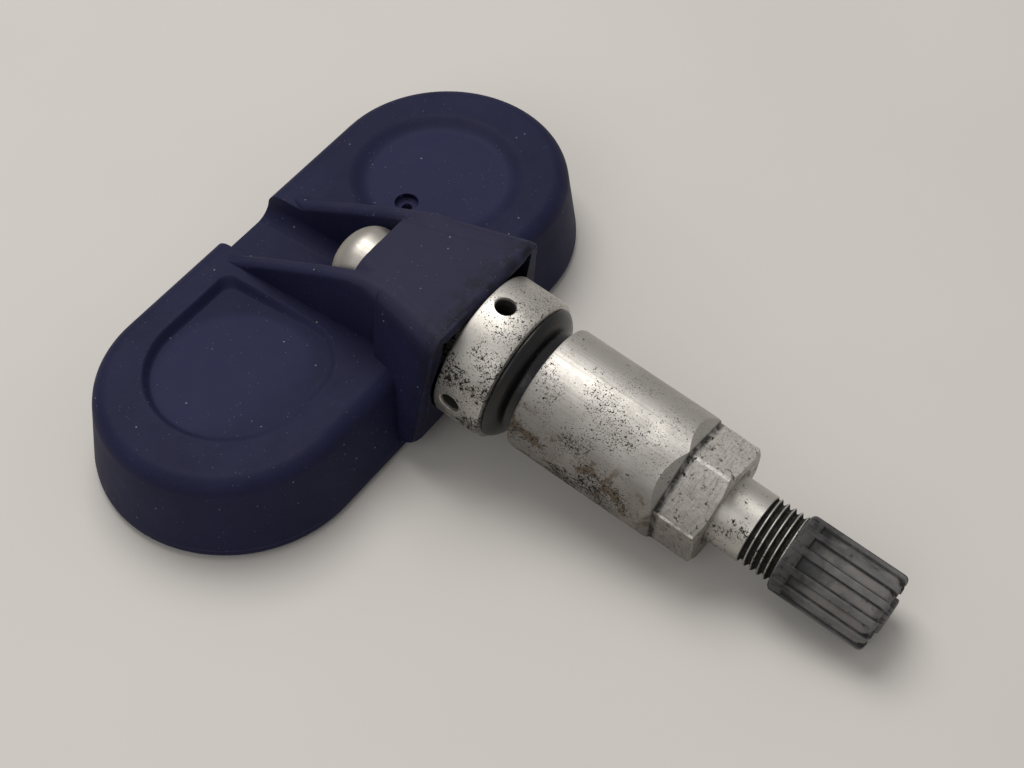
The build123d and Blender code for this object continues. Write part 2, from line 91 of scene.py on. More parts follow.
@dataclass(frozen=True)
class ValveAxis:
    """The tilted line that every turned piece sits on, in millimetres and degrees."""

    tilt: float = 8.6
    collar_y: float = -18.8
    tip: float = 50.2
    tip_radius: float = 4.42
    lift: float = 0.02

    @property
    def origin(self) -> Vector:
        """The centre of the collar's rear face, in millimetres."""
        sin, cos = math.sin(math.radians(self.tilt)), math.cos(math.radians(self.tilt))
        return Vector((0.0, self.collar_y, self.tip * sin + self.tip_radius * cos + self.lift))

    @property
    def rotation(self) -> Matrix:
        """Turns local x, y and station into the frame's X, Y and Z."""
        t = math.radians(self.tilt)
        return Matrix(((1, 0, 0), (0, -math.sin(t), -math.cos(t)), (0, math.cos(t), -math.sin(t))))

    @property
    def matrix(self) -> Matrix:
        """From local millimetres to the frame's metres."""
        return TO_METRES @ Matrix.Translation(self.origin) @ self.rotation.to_4x4()


AXIS = ValveAxis()


def angles(start: float, step: float, count: int) -> list[float]:
    """Evenly spaced angles in radians, from a start and a step in degrees."""
    return [math.radians(start + step * k) for k in range(count)]


class Value:
    """A float socket that takes part in Python expressions."""

    def __init__(self, graph: "Graph", socket: bpy.types.NodeSocket) -> None:
        """Keeps an output socket and the graph that new Math nodes go into."""
        self.graph = graph
        self.socket = socket

    def _math(self, operation: str, *others: Any) -> "Value":
        """Adds one Math node with this value as its first input."""
        return self.graph.math(operation, self, *others)

    def __add__(self, other: Any) -> "Value":
        """Adds."""
        return self._math("ADD", other)

    def __sub__(self, other: Any) -> "Value":
        """Subtracts."""
        return self._math("SUBTRACT", other)

    def __mul__(self, other: Any) -> "Value":
        """Multiplies."""
        return self._math("MULTIPLY", other)

    def __truediv__(self, other: Any) -> "Value":
        """Divides."""
        return self._math("DIVIDE", other)

    def __radd__(self, other: float) -> "Value":
        """Adds to a number."""
        return self.graph.math("ADD", other, self)

    def __rsub__(self, other: float) -> "Value":
        """Subtracts from a number."""
        return self.graph.math("SUBTRACT", other, self)

    def __rmul__(self, other: float) -> "Value":
        """Multiplies a number."""
        return self.graph.math("MULTIPLY", other, self)

    def step(self, low: float, high: float) -> "Value":
        """A smooth ramp.

        Args:
            low: The value that gives 0.
            high: The value that gives 1.

        Returns:
            The ramp.
        """
        ends = {"From Min": low, "From Max": high, "To Min": 0.0, "To Max": 1.0}
        node = self.graph.node("ShaderNodeMapRange", {"interpolation_type": "SMOOTHSTEP"},
                               {"Value": self, **ends})
        return Value(self.graph, node.outputs["Result"])

    def clamp(self) -> "Value":
        """Limits the value to 0 to 1."""
        node = self.graph.node("ShaderNodeClamp", {}, {"Value": self})
        return Value(self.graph, node.outputs["Result"])


Input = Union[float, Colour, Value, bpy.types.NodeSocket]


class Graph:
    """The node graph of one material."""

    def __init__(self, name: str, layout: Layout) -> None:
        """Starts a material with a Principled shader.

        Args:
            name: The material's name.
            layout: The coordinates that its pattern follows.
        """
        self.material = bpy.data.materials.new(name)
        self.material.use_nodes = True
        self.tree = self.material.node_tree
        self.tree.nodes.clear()
        self.shader = self.node("ShaderNodeBsdfPrincipled", {}, {})
        output = self.node("ShaderNodeOutputMaterial", {}, {})
        self.tree.links.new(self.shader.outputs["BSDF"], output.inputs["Surface"])
        self.point = self._coordinates(layout)

    def _coordinates(self, layout: Layout) -> bpy.types.NodeSocket:
        """Object coordinates in millimetres, turned along the valve where the layout asks.

        Args:
            layout: The coordinates that the pattern follows.

        Returns:
            The point's socket.
        """
        source = self.node("ShaderNodeTexCoord", {}, {}).outputs["Object"]
        valve = layout is Layout.VALVE
        place = tuple(AXIS.origin * MM) if valve else (0.0, 0.0, 0.0)
        turn = tuple(AXIS.rotation.to_euler("XYZ")) if valve else (0.0, 0.0, 0.0)
        node = self.node("ShaderNodeMapping", {"vector_type": "TEXTURE"},
                         {"Vector": source, "Location": place, "Rotation": turn, "Scale": (MM, MM, MM)})
        return node.outputs["Vector"]

    def node(self, kind: str, settings: dict[str, Any], inputs: dict[str, Any]) -> bpy.types.Node:
        """Adds a node.

        Args:
            kind: The node's type name.
            settings: Its own properties, set first.
            inputs: Values or links of its sockets, by name or index.

        Returns:
            The new node.
        """
        made = self.tree.nodes.new(kind)
        for key, value in settings.items():
            setattr(made, key, value)
        for key, value in inputs.items():
            self.feed(made.inputs[key], value)
        return made

    def feed(self, socket: bpy.types.NodeSocket, value: Input) -> None:
        """Sets a socket to a number or colour, or links it.

        Args:
            socket: The input socket.
            value: What it gets.
        """
        if isinstance(value, Value):
            value = value.socket
        if isinstance(value, bpy.types.NodeSocket):
            self.tree.links.new(value, socket)
        elif socket.type == "RGBA":
            socket.default_value = (*value, 1.0)
        else:
            socket.default_value = value

    def math(self, operation: str, *values: Any) -> Value:
        """One Math node."""
        made = self.node("ShaderNodeMath", {"operation": operation}, dict(enumerate(values)))
        return Value(self, made.outputs[0])

    def mix(self, factor: Input, first: Input, second: Input) -> bpy.types.NodeSocket:
        """Mixes two colours; the factor is the share of the second one."""
        made = self.node("ShaderNodeMix", {"data_type": "RGBA"}, {0: factor, 6: first, 7: second})
        return made.outputs[2]

    def stretch(self, scale: tuple[float, float, float]) -> bpy.types.NodeSocket:
        """The point with its three parts scaled, for streaks."""
        made = self.node("ShaderNodeVectorMath", {"operation": "MULTIPLY"}, {0: self.point, 1: scale})
        return made.outputs[0]

    def noise(self, scale: float, detail: float = 3.0, rough: float = 0.55,
              at: Union[bpy.types.NodeSocket, None] = None) -> Value:
        """Fractal noise.

        Args:
            scale: Features per millimetre.
            detail: Octaves.
            rough: How strong the finer octaves are.
            at: The coordinates, or None for the plain point.

        Returns:
            A value around 0.5.
        """
        inputs = {"Vector": at or self.point, "Scale": scale, "Detail": detail, "Roughness": rough}
        made = self.node("ShaderNodeTexNoise", {}, inputs)
        return Value(self, made.outputs[0])

    def cells(self, scale: float) -> Value:
        """The distance to the nearest of scattered points."""
        made = self.node("ShaderNodeTexVoronoi", {}, {"Vector": self.point, "Scale": scale})
        return Value(self, made.outputs["Distance"])

    def parts(self) -> tuple[Value, Value, Value]:
        """The point's three coordinates."""
        made = self.node("ShaderNodeSeparateXYZ", {}, {0: self.point})
        return tuple(Value(self, made.outputs[k]) for k in range(3))

    def radius(self) -> Value:
        """The distance from the layout's third axis."""
        x, y, _ = self.parts()
        return self.math("SQRT", x * x + y * y)

    def attribute(self, name: str) -> Value:
        """A value that the mesh carries."""
        made = self.node("ShaderNodeAttribute", {"attribute_name": name}, {})
        return Value(self, made.outputs["Fac"])

    def edges(self) -> Value:
        """High on outward edges, low in corners."""
        made = self.node("ShaderNodeNewGeometry", {}, {})
        return Value(self, made.outputs["Pointiness"])

    def bump(self, height: Input, depth: float, strength: float = 1.0) -> bpy.types.NodeSocket:
        """A Bump node.

        Args:
            height: The height pattern.
            depth: Its full depth in millimetres.
            strength: How much of it shows.

        Returns:
            The normal's socket.
        """
        inputs = {"Height": height, "Distance": depth * MM, "Strength": strength}
        made = self.node("ShaderNodeBump", {}, inputs)
        return made.outputs["Normal"]

    def set(self, **inputs: Input) -> bpy.types.Material:
        """Feeds the shader's sockets.

        Args:
            inputs: Values by the sockets' names, with underscores.

        Returns:
            The material.
        """
        for key, value in inputs.items():
            self.feed(self.shader.inputs[key.replace("_", " ")], value)
        return self.material


@dataclass(frozen=True)
class HousingFinish:
    """Navy moulded plastic with fine grain, dust and worn edges that carry a painted highlight, a painted
    highlight on the hood's top and painted shade by the mouth.
    """

    base: Colour = (0.0100, 0.0106, 0.0330)
    pale: Colour = (0.0172, 0.0180, 0.0520)
    # Colour of worn edges and scratches, also used as the painted edge highlight.
    rubbed_and_highlit: Colour = (0.075, 0.075, 0.105)
    dust: Colour = (0.34, 0.33, 0.33)
    # Painted shade on the hood's front by the mouth.
    mouth_shade: Colour = (0.010, 0.0095, 0.011)
    floor: Colour = (0.0205, 0.0215, 0.0620)
    # Painted highlight on the hood's top.
    hood: Colour = (0.036, 0.035, 0.060)
    hood_from: float = 17.0
    hood_to: float = 20.0
    recess_x: float = 17.6
    recess_y: float = 0.2
    recess_radius: float = 9.2
    recess_soft: float = 1.6
    recess_low: float = 10.50
    recess_high: float = 10.90
    lobe_low: float = 10.0
    lobe_high: float = 10.8
    mouth_front: float = -18.6
    mouth_rear: float = -15.6

    def _specks(self, g: Graph) -> Value:
        """White dust: many fine grains and a few larger ones.

        Args:
            g: The material's graph.

        Returns:
            1 where a grain lies.
        """
        large = (1.0 - g.cells(0.60).step(0.035, 0.075)) * g.noise(0.21, 2.0).step(0.46, 0.54)
        small = (1.0 - g.cells(1.7).step(0.045, 0.095)) * g.noise(0.33, 2.0).step(0.44, 0.54)
        return (large * 0.6 + small * 0.4).clamp()

    def _recess(self, g: Graph) -> Value:
        """The floors of the recesses.

        Args:
            g: The material's graph.

        Returns:
            1 on the floor of the recess in either lobe.
        """
        x, y, z = g.parts()
        dx, dy = g.math("ABSOLUTE", x) - self.recess_x, y - self.recess_y
        reach = g.math("SQRT", dx * dx + dy * dy)
        inside = 1.0 - reach.step(self.recess_radius - self.recess_soft, self.recess_radius)
        return inside * (1.0 - z.step(self.recess_low, self.recess_high))

    def material(self) -> bpy.types.Material:
        """Builds the material.

        Returns:
            The finished material.
        """
        g = Graph("housing_plastic", Layout.HOUSING)
        wide, close = g.noise(0.11, 3.0).step(0.30, 0.72), g.noise(4.5, 4.0, 0.75).step(0.30, 0.72)
        cloud = wide * 0.50 + close * 0.50
        colour = g.mix(cloud, self.base, self.pale)
        colour = g.mix(self._recess(g) * 0.75, colour, self.floor)
        _, y, z = g.parts()
        # Painted highlight: the hood's top is made lighter towards its top.
        colour = g.mix(z.step(self.hood_from, self.hood_to) * 0.45, colour, self.hood)
        # Worn edges with a painted edge highlight on the convex roundings.
        worn = g.attribute(EDGE_WEAR_AND_HIGHLIGHT) * (0.4 + g.noise(0.5, 3.0).step(0.30, 0.70) * 0.6)
        colour = g.mix(worn * 0.34, colour, self.rubbed_and_highlit)
        scratch = g.noise(1.0, 2.0, 0.5, g.stretch((0.22, 2.6, 1.4))).step(0.72, 0.76)
        colour = g.mix(scratch * z.step(self.lobe_low, self.lobe_high) * 0.16, colour, self.rubbed_and_highlit)
        # Painted shade, broken up by noise, on the hood's front by the mouth.
        near = (1.0 - y.step(self.mouth_front, self.mouth_rear)) * g.noise(0.6, 4.0, 0.6).step(0.36, 0.62)
        colour = g.mix(near * 0.6, colour, self.mouth_shade)
        dusty = self._specks(g)
        colour = g.mix(dusty, colour, self.dust)
        rough = 0.50 + g.noise(0.5, 4.0) * 0.14 + dusty * 0.2
        grain = g.noise(5.5, 3.0) * 0.6 + g.noise(1.3, 2.0) * 0.4
        return g.set(Base_Color=colour, Roughness=rough, Normal=g.bump(grain, 0.035, 0.5),
                     Specular_IOR_Level=0.11)


@dataclass(frozen=True)
class MetalFinish:
    """Bare aluminium or steel with pits, dirt and tool marks, painted shade on the low side and in the
    crevices, and a painted highlight on worn edges.
    """

    name: str
    base: Colour
    dull: Colour
    rough: float = 0.42
    streaks: float = 0.0
    pits: float = 0.5
    # Strength of the painted shade with dirt on the lower left side.
    low_shade_and_dirt: float = 0.0
    patch_station: float = 15.0
    patch_length: float = 60.0
    thread_from: float = BEYOND
    thread_crest: float = 3.80
    # Radius inside which the pin holes get painted shade.
    hole_shade_radius: float = 0.0
    hexagon_from: float = BEYOND
    black: Colour = (0.013, 0.012, 0.011)
    # Painted shade with dirt on the lower left side.
    low_shade_and_dirt_colour: Colour = (0.150, 0.138, 0.124)
    scuffed: Colour = (0.36, 0.34, 0.315)
    bright: Colour = (0.66, 0.63, 0.59)
    crust: Colour = (0.135, 0.098, 0.062)
    # Colour of polished worn edges, also used as the painted edge highlight.
    polished_and_highlit: Colour = (0.82, 0.80, 0.76)
    low_x: float = -0.84
    low_y: float = -0.55
    low_from: float = -4.5
    low_to: float = 6.5
    hole_start: float = 0.5
    hole_end: float = 3.8

    def _low_side(self, g: Graph) -> Value:
        """Rises from 0 on the upper right side to 1 on the lower left one."""
        x, y, _ = g.parts()
        return (x * self.low_x + y * self.low_y).step(self.low_from, self.low_to)

    def _pitted(self, g: Graph) -> Value:
        """Black pits of two sizes, dense in patches.

        Args:
            g: The material's graph.

        Returns:
            1 where the metal is eaten or crusted over.
        """
        _, _, s = g.parts()
        away = (s - self.patch_station) / self.patch_length
        near = (1.0 - away * away).clamp()
        patch = g.noise(0.20, 3.0).step(0.36, 0.62)
        density = (patch * 0.58 + self._low_side(g) * 0.42).clamp() * near * self.pits
        coarse = (g.noise(2.3, 6.0, 0.70) + density * 0.19).step(0.712, 0.742)
        fine = (g.noise(6.0, 4.0, 0.65) + density * 0.20).step(0.690, 0.735)
        return (coarse + fine * 0.85).clamp()

    def _crevice_shade_and_grime(self, g: Graph) -> Value:
        """Painted shade with dirt in the thread's roots and at the hexagon's root, and painted shade in the pin
        holes.

        Args:
            g: The material's graph.

        Returns:
            1 where a corner is darkened by painted shade with dirt, and inside the pin holes by painted shade.
        """
        _, _, s = g.parts()
        found = s * 0.0
        # Painted shade with dirt in the thread's roots.
        if self.thread_from < BEYOND:
            root = 1.0 - g.radius().step(self.thread_crest - 0.06, self.thread_crest + 0.03)
            on_thread = s.step(self.thread_from - 0.02, self.thread_from + 0.02)
            found = found + root * on_thread * (0.86 + g.noise(1.5, 3.0) * 0.25)
        # Painted shade inside the pin holes.
        if self.hole_shade_radius > 0.0:
            inside = 1.0 - g.radius().step(self.hole_shade_radius - 0.25, self.hole_shade_radius)
            behind = 1.0 - s.step(self.hole_end - 0.2, self.hole_end)
            found = found + inside * s.step(self.hole_start, self.hole_start + 0.2) * behind * 0.97
        # Painted shade with dirt at the hexagon's root, and dark spots on the flats.
        if self.hexagon_from < BEYOND:
            behind = 1.0 - s.step(self.hexagon_from + 0.2, self.hexagon_from + 0.8)
            near = s.step(self.hexagon_from - 0.25, self.hexagon_from) * behind
            found = found + near * (0.55 + g.noise(0.9, 4.0, 0.6).step(0.36, 0.58) * 0.40)
            flat = s.step(self.hexagon_from + 0.1, self.hexagon_from + 0.4)
            found = found + flat * g.noise(1.9, 6.0, 0.72).step(0.570, 0.625) * 0.85
        return found.clamp()

    def material(self) -> bpy.types.Material:
        """Builds the material.

        Returns:
            The finished material.
        """
        g = Graph(self.name, Layout.VALVE)
        _, _, s = g.parts()
        shade = g.noise(0.35, 4.0, 0.6).step(0.30, 0.72)
        lines = g.noise(1.0, 4.0, 0.65, g.stretch((4.2, 4.2, 0.03)))
        colour = g.mix(shade, self.base, self.dull)
        colour = g.mix((lines - 0.5).step(0.0, 0.22) * (0.45 * self.streaks), colour, self.scuffed)
        flats = s.step(self.hexagon_from, self.hexagon_from + 0.1)
        grain = g.noise(3.4, 5.0, 0.7).step(0.40, 0.64)
        brushed = g.noise(1.0, 4.0, 0.6, g.stretch((0.7, 0.7, 5.0))).step(0.46, 0.64)
        marks = grain * 0.5 + brushed * 0.5
        colour = g.mix(flats * 0.8, colour, g.mix(marks, self.bright, self.scuffed))
        # Painted shade with dirt: the lower left side darkens towards a dark warm tone.
        low_shade_and_dirt_mask = self._low_side(g) * (0.6 + g.noise(0.5, 4.0, 0.6) * 0.6)
        colour = g.mix((low_shade_and_dirt_mask * self.low_shade_and_dirt).clamp(), colour, self.low_shade_and_dirt_colour)
        # Polished worn edges with a painted highlight on the rounded hexagon edges.
        rubbed_and_highlit = g.attribute(EDGE_WEAR_AND_HIGHLIGHT) * g.noise(0.9, 3.0).step(0.30, 0.55)
        colour = g.mix(rubbed_and_highlit * 0.8, colour, self.polished_and_highlit)
        crusted = self._low_side(g).step(0.62, 0.90) * g.noise(0.42, 5.0, 0.65).step(0.53, 0.60) * self.streaks
        colour = g.mix(crusted * flats.step(1.0, 0.0) * 0.75, colour, self.crust)
        # Pits, with painted shade and dirt in the crevices, turn black.
        pits_grime_and_shade = (self._pitted(g) + self._crevice_shade_and_grime(g)).clamp()
        colour = g.mix(pits_grime_and_shade, colour, self.black)
        rough = self.rough + (lines - 0.5) * (0.4 * self.streaks) + shade * 0.08 + pits_grime_and_shade * 0.35 + flats * 0.12
        relief = lines * (0.9 * self.streaks) - pits_grime_and_shade * 0.9 + g.noise(2.5, 3.0) * 0.3 + flats * marks * 0.9
        return g.set(Base_Color=colour, Metallic=1.0 - pits_grime_and_shade * 0.95, Roughness=rough,
                     Normal=g.bump(relief, 0.05, 0.5), Specular_IOR_Level=0.15)


@dataclass(frozen=True)
class RubberFinish:
    """Black rubber, a little glossy, with dust in places."""

    name: str = "grommet_rubber"
    base: Colour = (0.0045, 0.0045, 0.0052)
    dusty: Colour = (0.16, 0.15, 0.15)
    rough: float = 0.26

    def material(self) -> bpy.types.Material:
        """Builds the material.

        Returns:
            The finished material.
        """
        g = Graph(self.name, Layout.VALVE)
        dust = g.noise(1.4, 4.0, 0.65).step(0.62, 0.76) * 0.20
        colour = g.mix(dust, self.base, self.dusty)
        rough = self.rough + g.noise(0.8, 3.0) * 0.12 + dust
        return g.set(Base_Color=colour, Roughness=rough, Normal=g.bump(g.noise(1.8, 3.0), 0.06, 0.6),
                     Specular_IOR_Level=0.42)


@dataclass(frozen=True)
class CapFinish:
    """Worn dark plastic: black by the band, painted shade along the ribs' feet, greyish with dust between them.
    """

    band_end: float = 40.4
    ribs: int = 12
    rib_turn: float = 22.7
    dark: Colour = (0.014, 0.014, 0.015)
    worn: Colour = (0.130, 0.125, 0.124)
    dust: Colour = (0.175, 0.158, 0.150)
    pale: Colour = (0.26, 0.25, 0.24)

    def _rib_wave(self, g: Graph) -> Value:
        """The ribs round the cap.

        Args:
            g: The material's graph.

        Returns:
            1 in the middle of a rib and 0 midway between two ribs.
        """
        x, y, _ = g.parts()
        angle = g.math("ARCTAN2", y, x) - math.radians(self.rib_turn)
        return g.math("COSINE", angle * float(self.ribs)) * 0.5 + 0.5

    def material(self) -> bpy.types.Material:
        """Builds the material.

        Returns:
            The finished material.
        """
        g = Graph("cap_plastic", Layout.VALVE)
        _, _, s = g.parts()
        wave = self._rib_wave(g)
        along = (s + g.noise(0.5, 3.0) * 3.0 - 1.5).step(self.band_end - 0.1, self.band_end + 4.2)
        patch = g.noise(0.45, 4.0, 0.6).step(0.28, 0.66)
        colour = g.mix((along * (0.50 + patch * 0.45)).clamp(), self.dark, self.worn)
        between = 1.0 - wave.step(0.18, 0.42)
        colour = g.mix((between * along * patch).clamp() * 0.85, colour, self.dust)
        # Painted shade along the ribs' feet, broken up by noise.
        beside = wave.step(0.44, 0.54) * (1.0 - wave.step(0.68, 0.75))
        foot = beside * (g.noise(0.8, 4.0, 0.6).step(0.30, 0.58) * 0.6 + 0.4)
        colour = g.mix(foot * 0.96, colour, self.dark)
        rim = g.edges().step(0.52, 0.62) * g.noise(1.2, 3.0).step(0.30, 0.56)
        colour = g.mix(rim * 0.60, colour, self.pale)
        black = g.noise(1.1, 5.0, 0.68).step(0.58, 0.68) * 0.65
        colour = g.mix(black, colour, self.dark)
        rough = 0.50 + g.noise(0.9, 3.0) * 0.2
        return g.set(Base_Color=colour, Roughness=rough, Normal=g.bump(g.noise(2.4, 4.0), 0.07, 0.55),
                     Specular_IOR_Level=0.30)


@dataclass(frozen=True)
class PlainFinish:
    """A finish for the pieces inside the housing and the valve core."""

    name: str
    base: Colour
    rough: float
    metal: float = 0.0

    def material(self) -> bpy.types.Material:
        """Builds the material.

        Returns:
            The finished material.
        """
        g = Graph(self.name, Layout.HOUSING)
        cloud = g.noise(0.9, 4.0).step(0.30, 0.70)
        darker = tuple(c * 0.72 for c in self.base)
        rough = self.rough + g.noise(1.7, 3.0) * 0.12
        return g.set(Base_Color=g.mix(cloud, self.base, darker), Metallic=self.metal, Roughness=rough,
                     Normal=g.bump(g.noise(3.0, 2.0), 0.02, 0.4))


class Shape:
    """A mesh under construction, in millimetres."""

    def __init__(self) -> None:
        """Starts with nothing."""
        self.bm = bmesh.new()

    def turned(self, profile: Sequence[Point2], steps: int = 128, closed: bool = True) -> "Shape":
        """Spins a profile about the station axis.

        Args:
            profile: Radius and station of each corner.
            steps: Faces round the axis.
            closed: Whether the last corner joins the first.

        Returns:
            This shape.
        """
        verts = [self.bm.verts.new((r, 0.0, s)) for r, s in profile]
        pairs = list(zip(verts, verts[1:]))
        if closed:
            pairs.append((verts[-1], verts[0]))
        edges = [self.bm.edges.new(p) for p in pairs]
        bmesh.ops.spin(self.bm, geom=verts + edges, cent=(0, 0, 0), axis=(0, 0, 1), angle=math.tau, steps=steps,
                       use_merge=True, use_normal_flip=False, use_duplicate=False)
        return self.clean()

    def helix(self, section: Sequence[Point2], start: float, turns: float, pitch: float,
              steps: int) -> "Shape":
        """Winds a closed section round the axis.

        Args:
            section: Radius and station offset of each corner.
            start: The station of the section's zero.
            turns: How many turns.
            pitch: The advance of one turn.
            steps: Steps of one turn.

        Returns:
            This shape.
        """
        face = self.bm.faces.new([self.bm.verts.new((r, 0.0, start + z)) for r, z in section])
        count = int(turns * steps)
        bmesh.ops.spin(self.bm, geom=[face], cent=(0, 0, 0), axis=(0, 0, 1), dvec=(0, 0, pitch / steps),
                       angle=math.tau * turns, steps=count, use_merge=False, use_normal_flip=False,
                       use_duplicate=False)
        return self.clean()

    def prism(self, across: float, turn: float, start: float, end: float, taper: float = 1.0) -> "Shape":
        """A hexagonal prism on the axis.

        Args:
            across: Distance across two opposite flats at the first station.
            turn: Angle of one corner, in degrees.
            start: First station.
            end: Last station.
            taper: Width at the last station as a share of the first.

        Returns:
            This shape.
        """
        sides = 6
        radius = across / 2 / math.cos(math.pi / sides)
        place = Matrix.Translation((0, 0, start)) @ Matrix.Rotation(math.radians(turn - 90.0), 4, "Z")
        ring = bmesh.ops.create_circle(self.bm, cap_ends=True, segments=sides, radius=radius,
                                       matrix=place)
        faces = list({f for v in ring["verts"] for f in v.link_faces})
        top = bmesh.ops.extrude_face_region(self.bm, geom=faces)
        moved = [v for v in top["geom"] if isinstance(v, bmesh.types.BMVert)]
        bmesh.ops.scale(self.bm, verts=moved, vec=(taper, taper, 1.0))
        bmesh.ops.translate(self.bm, verts=moved, vec=(0, 0, end - start))
        return self.clean()

    def lofted(self, rings: Iterable[Sequence[Point3]]) -> "Shape":
        """Bridges closed rings one after another and closes both ends.

        Args:
            rings: The points of each ring, as many in each.

        Returns:
            This shape.
        """
        loops = []
        for ring in rings:
            verts = [self.bm.verts.new(place) for place in ring]
            loops.append([self.bm.edges.new((v, verts[k - 1])) for k, v in enumerate(verts)])
        for first, second in zip(loops, loops[1:]):
            bmesh.ops.bridge_loops(self.bm, edges=first + second)
        bmesh.ops.holes_fill(self.bm, edges=loops[0] + loops[-1], sides=0)
        return self.clean()

    def laid(self, place: Matrix) -> "Shape":
        """Moves the whole shape."""
        bmesh.ops.transform(self.bm, matrix=place, verts=self.bm.verts)
        return self

    def bar(self, size: Vector, centre: Vector, turn: float, edge: float, nose: float) -> "Shape":
        """A bar with rounded edges, turned about the axis.

        Args:
            size: Its three sides.
            centre: Its middle before the turn.
            turn: The turn in degrees.
            edge: Radius of its edges.
            nose: Radius of the outer edge at its far end.

        Returns:
            This shape.
        """
        made = bmesh.ops.create_cube(self.bm, size=1.0)["verts"]
        front = [e for v in made for e in v.link_edges
                 if all(w.co.x > 0 and w.co.z > 0 for w in e.verts)]
        bmesh.ops.scale(self.bm, verts=made, vec=size)
        round_nose = bmesh.ops.bevel(self.bm, geom=list(set(front)), offset=nose, offset_type="OFFSET",
                                     segments=5, profile=0.5, affect="EDGES", clamp_overlap=True,
                                     material=-1)
        made = list({v for v in made if v.is_valid} | set(round_nose["verts"]))
        bmesh.ops.translate(self.bm, verts=made, vec=centre)
        bmesh.ops.rotate(self.bm, verts=made, cent=(0, 0, 0),
                         matrix=Matrix.Rotation(math.radians(turn), 3, "Z"))
        sharp = math.radians(50.0)
        rims = list({e for v in made for e in v.link_edges if e.calc_face_angle() > sharp})
        bmesh.ops.bevel(self.bm, geom=rims, offset=edge, offset_type="OFFSET", segments=3, profile=0.5,
                        affect="EDGES", clamp_overlap=True, material=-1)
        return self

    def block(self, low: Point3, high: Point3) -> "Shape":
        """A plain block.

        Args:
            low: Its lowest corner.
            high: Its highest corner.

        Returns:
            This shape.
        """
        made = bmesh.ops.create_cube(self.bm, size=1.0)["verts"]
        bmesh.ops.scale(self.bm, verts=made, vec=[b - a for a, b in zip(low, high)])
        bmesh.ops.translate(self.bm, verts=made, vec=[(a + b) / 2 for a, b in zip(low, high)])
        return self

    def merged(self, data: bpy.types.Mesh, distance: float = MERGE_DISTANCE) -> "Shape":
        """A merged copy of a mesh.

        Args:
            data: The mesh, in metres.
            distance: How near two points are one, in millimetres.

        Returns:
            This shape.
        """
        self.bm.from_mesh(data)
        bmesh.ops.scale(self.bm, verts=self.bm.verts, vec=(1 / MM,) * 3)
        bmesh.ops.remove_doubles(self.bm, verts=self.bm.verts, dist=distance)
        return self

    def facets(self) -> "Shape":
        """Drops the smallest slivers and splits every face into triangles.

        Returns:
            This shape.
        """
        bmesh.ops.dissolve_degenerate(self.bm, dist=SLIVER, edges=self.bm.edges)
        bmesh.ops.triangulate(self.bm, faces=self.bm.faces)
        return self

    def taken(self, data: bpy.types.Mesh) -> "Shape":
        """A merged copy of a mesh with its flat triangles joined.

        Args:
            data: The mesh, in metres.

        Returns:
            This shape.
        """
        self.merged(data)
        bmesh.ops.dissolve_limit(self.bm, angle_limit=math.radians(FLAT_ANGLE), verts=self.bm.verts,
                                 edges=self.bm.edges)
        return self

    def eased(self, width: float, angle: float, segments: int = 2, low: Point3 = LOWEST,
              high: Point3 = HIGHEST) -> "Shape":
        """Rounds the edges that are sharper than an angle.

        Args:
            width: How far the rounding reaches.
            angle: The least angle between faces, in degrees.
            segments: Faces across the rounding.
            low: Lowest corner of the box that both ends of an edge lie in.
            high: Highest corner of that box.

        Returns:
            This shape.
        """
        limit = math.radians(angle)
        near = {v for v in self.bm.verts if all(a <= c <= b for a, c, b in zip(low, v.co, high))}
        sharp = [e for e in self.bm.edges
                 if e.is_manifold and e.calc_face_angle() > limit and near.issuperset(e.verts)]
        marks = [(e.verts[0].co.lerp(e.verts[1].co, k / 8), e.is_convex) for e in sharp for k in range(9)]
        tree = KDTree(len(marks))
        for index, (place, _) in enumerate(marks):
            tree.insert(place, index)
        tree.balance()
        worn = self.bm.faces.layers.float.get(EDGE_WEAR_AND_HIGHLIGHT) or self.bm.faces.layers.float.new(EDGE_WEAR_AND_HIGHLIGHT)
        made = bmesh.ops.bevel(self.bm, geom=sharp, offset=width, offset_type="OFFSET", segments=segments,
                               profile=0.5, affect="EDGES", clamp_overlap=True, material=-1)
        # Convex roundings are marked for worn edges with a painted edge highlight.
        for face in made["faces"]:
            face[worn] = float(marks[tree.find(face.calc_center_median())[1]][1])
        return self

    def cleared_of_wear_and_highlight(self) -> "Shape":
        """Takes the marks for worn edges and the painted edge highlight off every face, for roundings that are
        part of the form.

        Returns:
            This shape.
        """
        worn = self.bm.faces.layers.float[EDGE_WEAR_AND_HIGHLIGHT]
        for face in self.bm.faces:
            face[worn] = 0.0
        return self

    def clean(self) -> "Shape":
        """Merges doubles and turns the faces outwards.

        Returns:
            This shape.
        """
        bmesh.ops.remove_doubles(self.bm, verts=self.bm.verts, dist=DOUBLES)
        bmesh.ops.recalc_face_normals(self.bm, faces=self.bm.faces)
        return self

    def mesh(self, name: str, place: Matrix, smooth: float = SHARP) -> bpy.types.Mesh:
        """Writes the mesh.

        Args:
            name: The mesh's name.
            place: From millimetres to the frame.
            smooth: Edges sharper than this stay sharp, in degrees.

        Returns:
            The mesh, shaded smooth between its sharp edges.
        """
        bmesh.ops.transform(self.bm, matrix=place, verts=self.bm.verts)
        data = bpy.data.meshes.new(name)
        self.bm.to_mesh(data)
        self.bm.free()
        data.shade_smooth()
        data.set_sharp_from_angle(angle=math.radians(smooth))
        return data


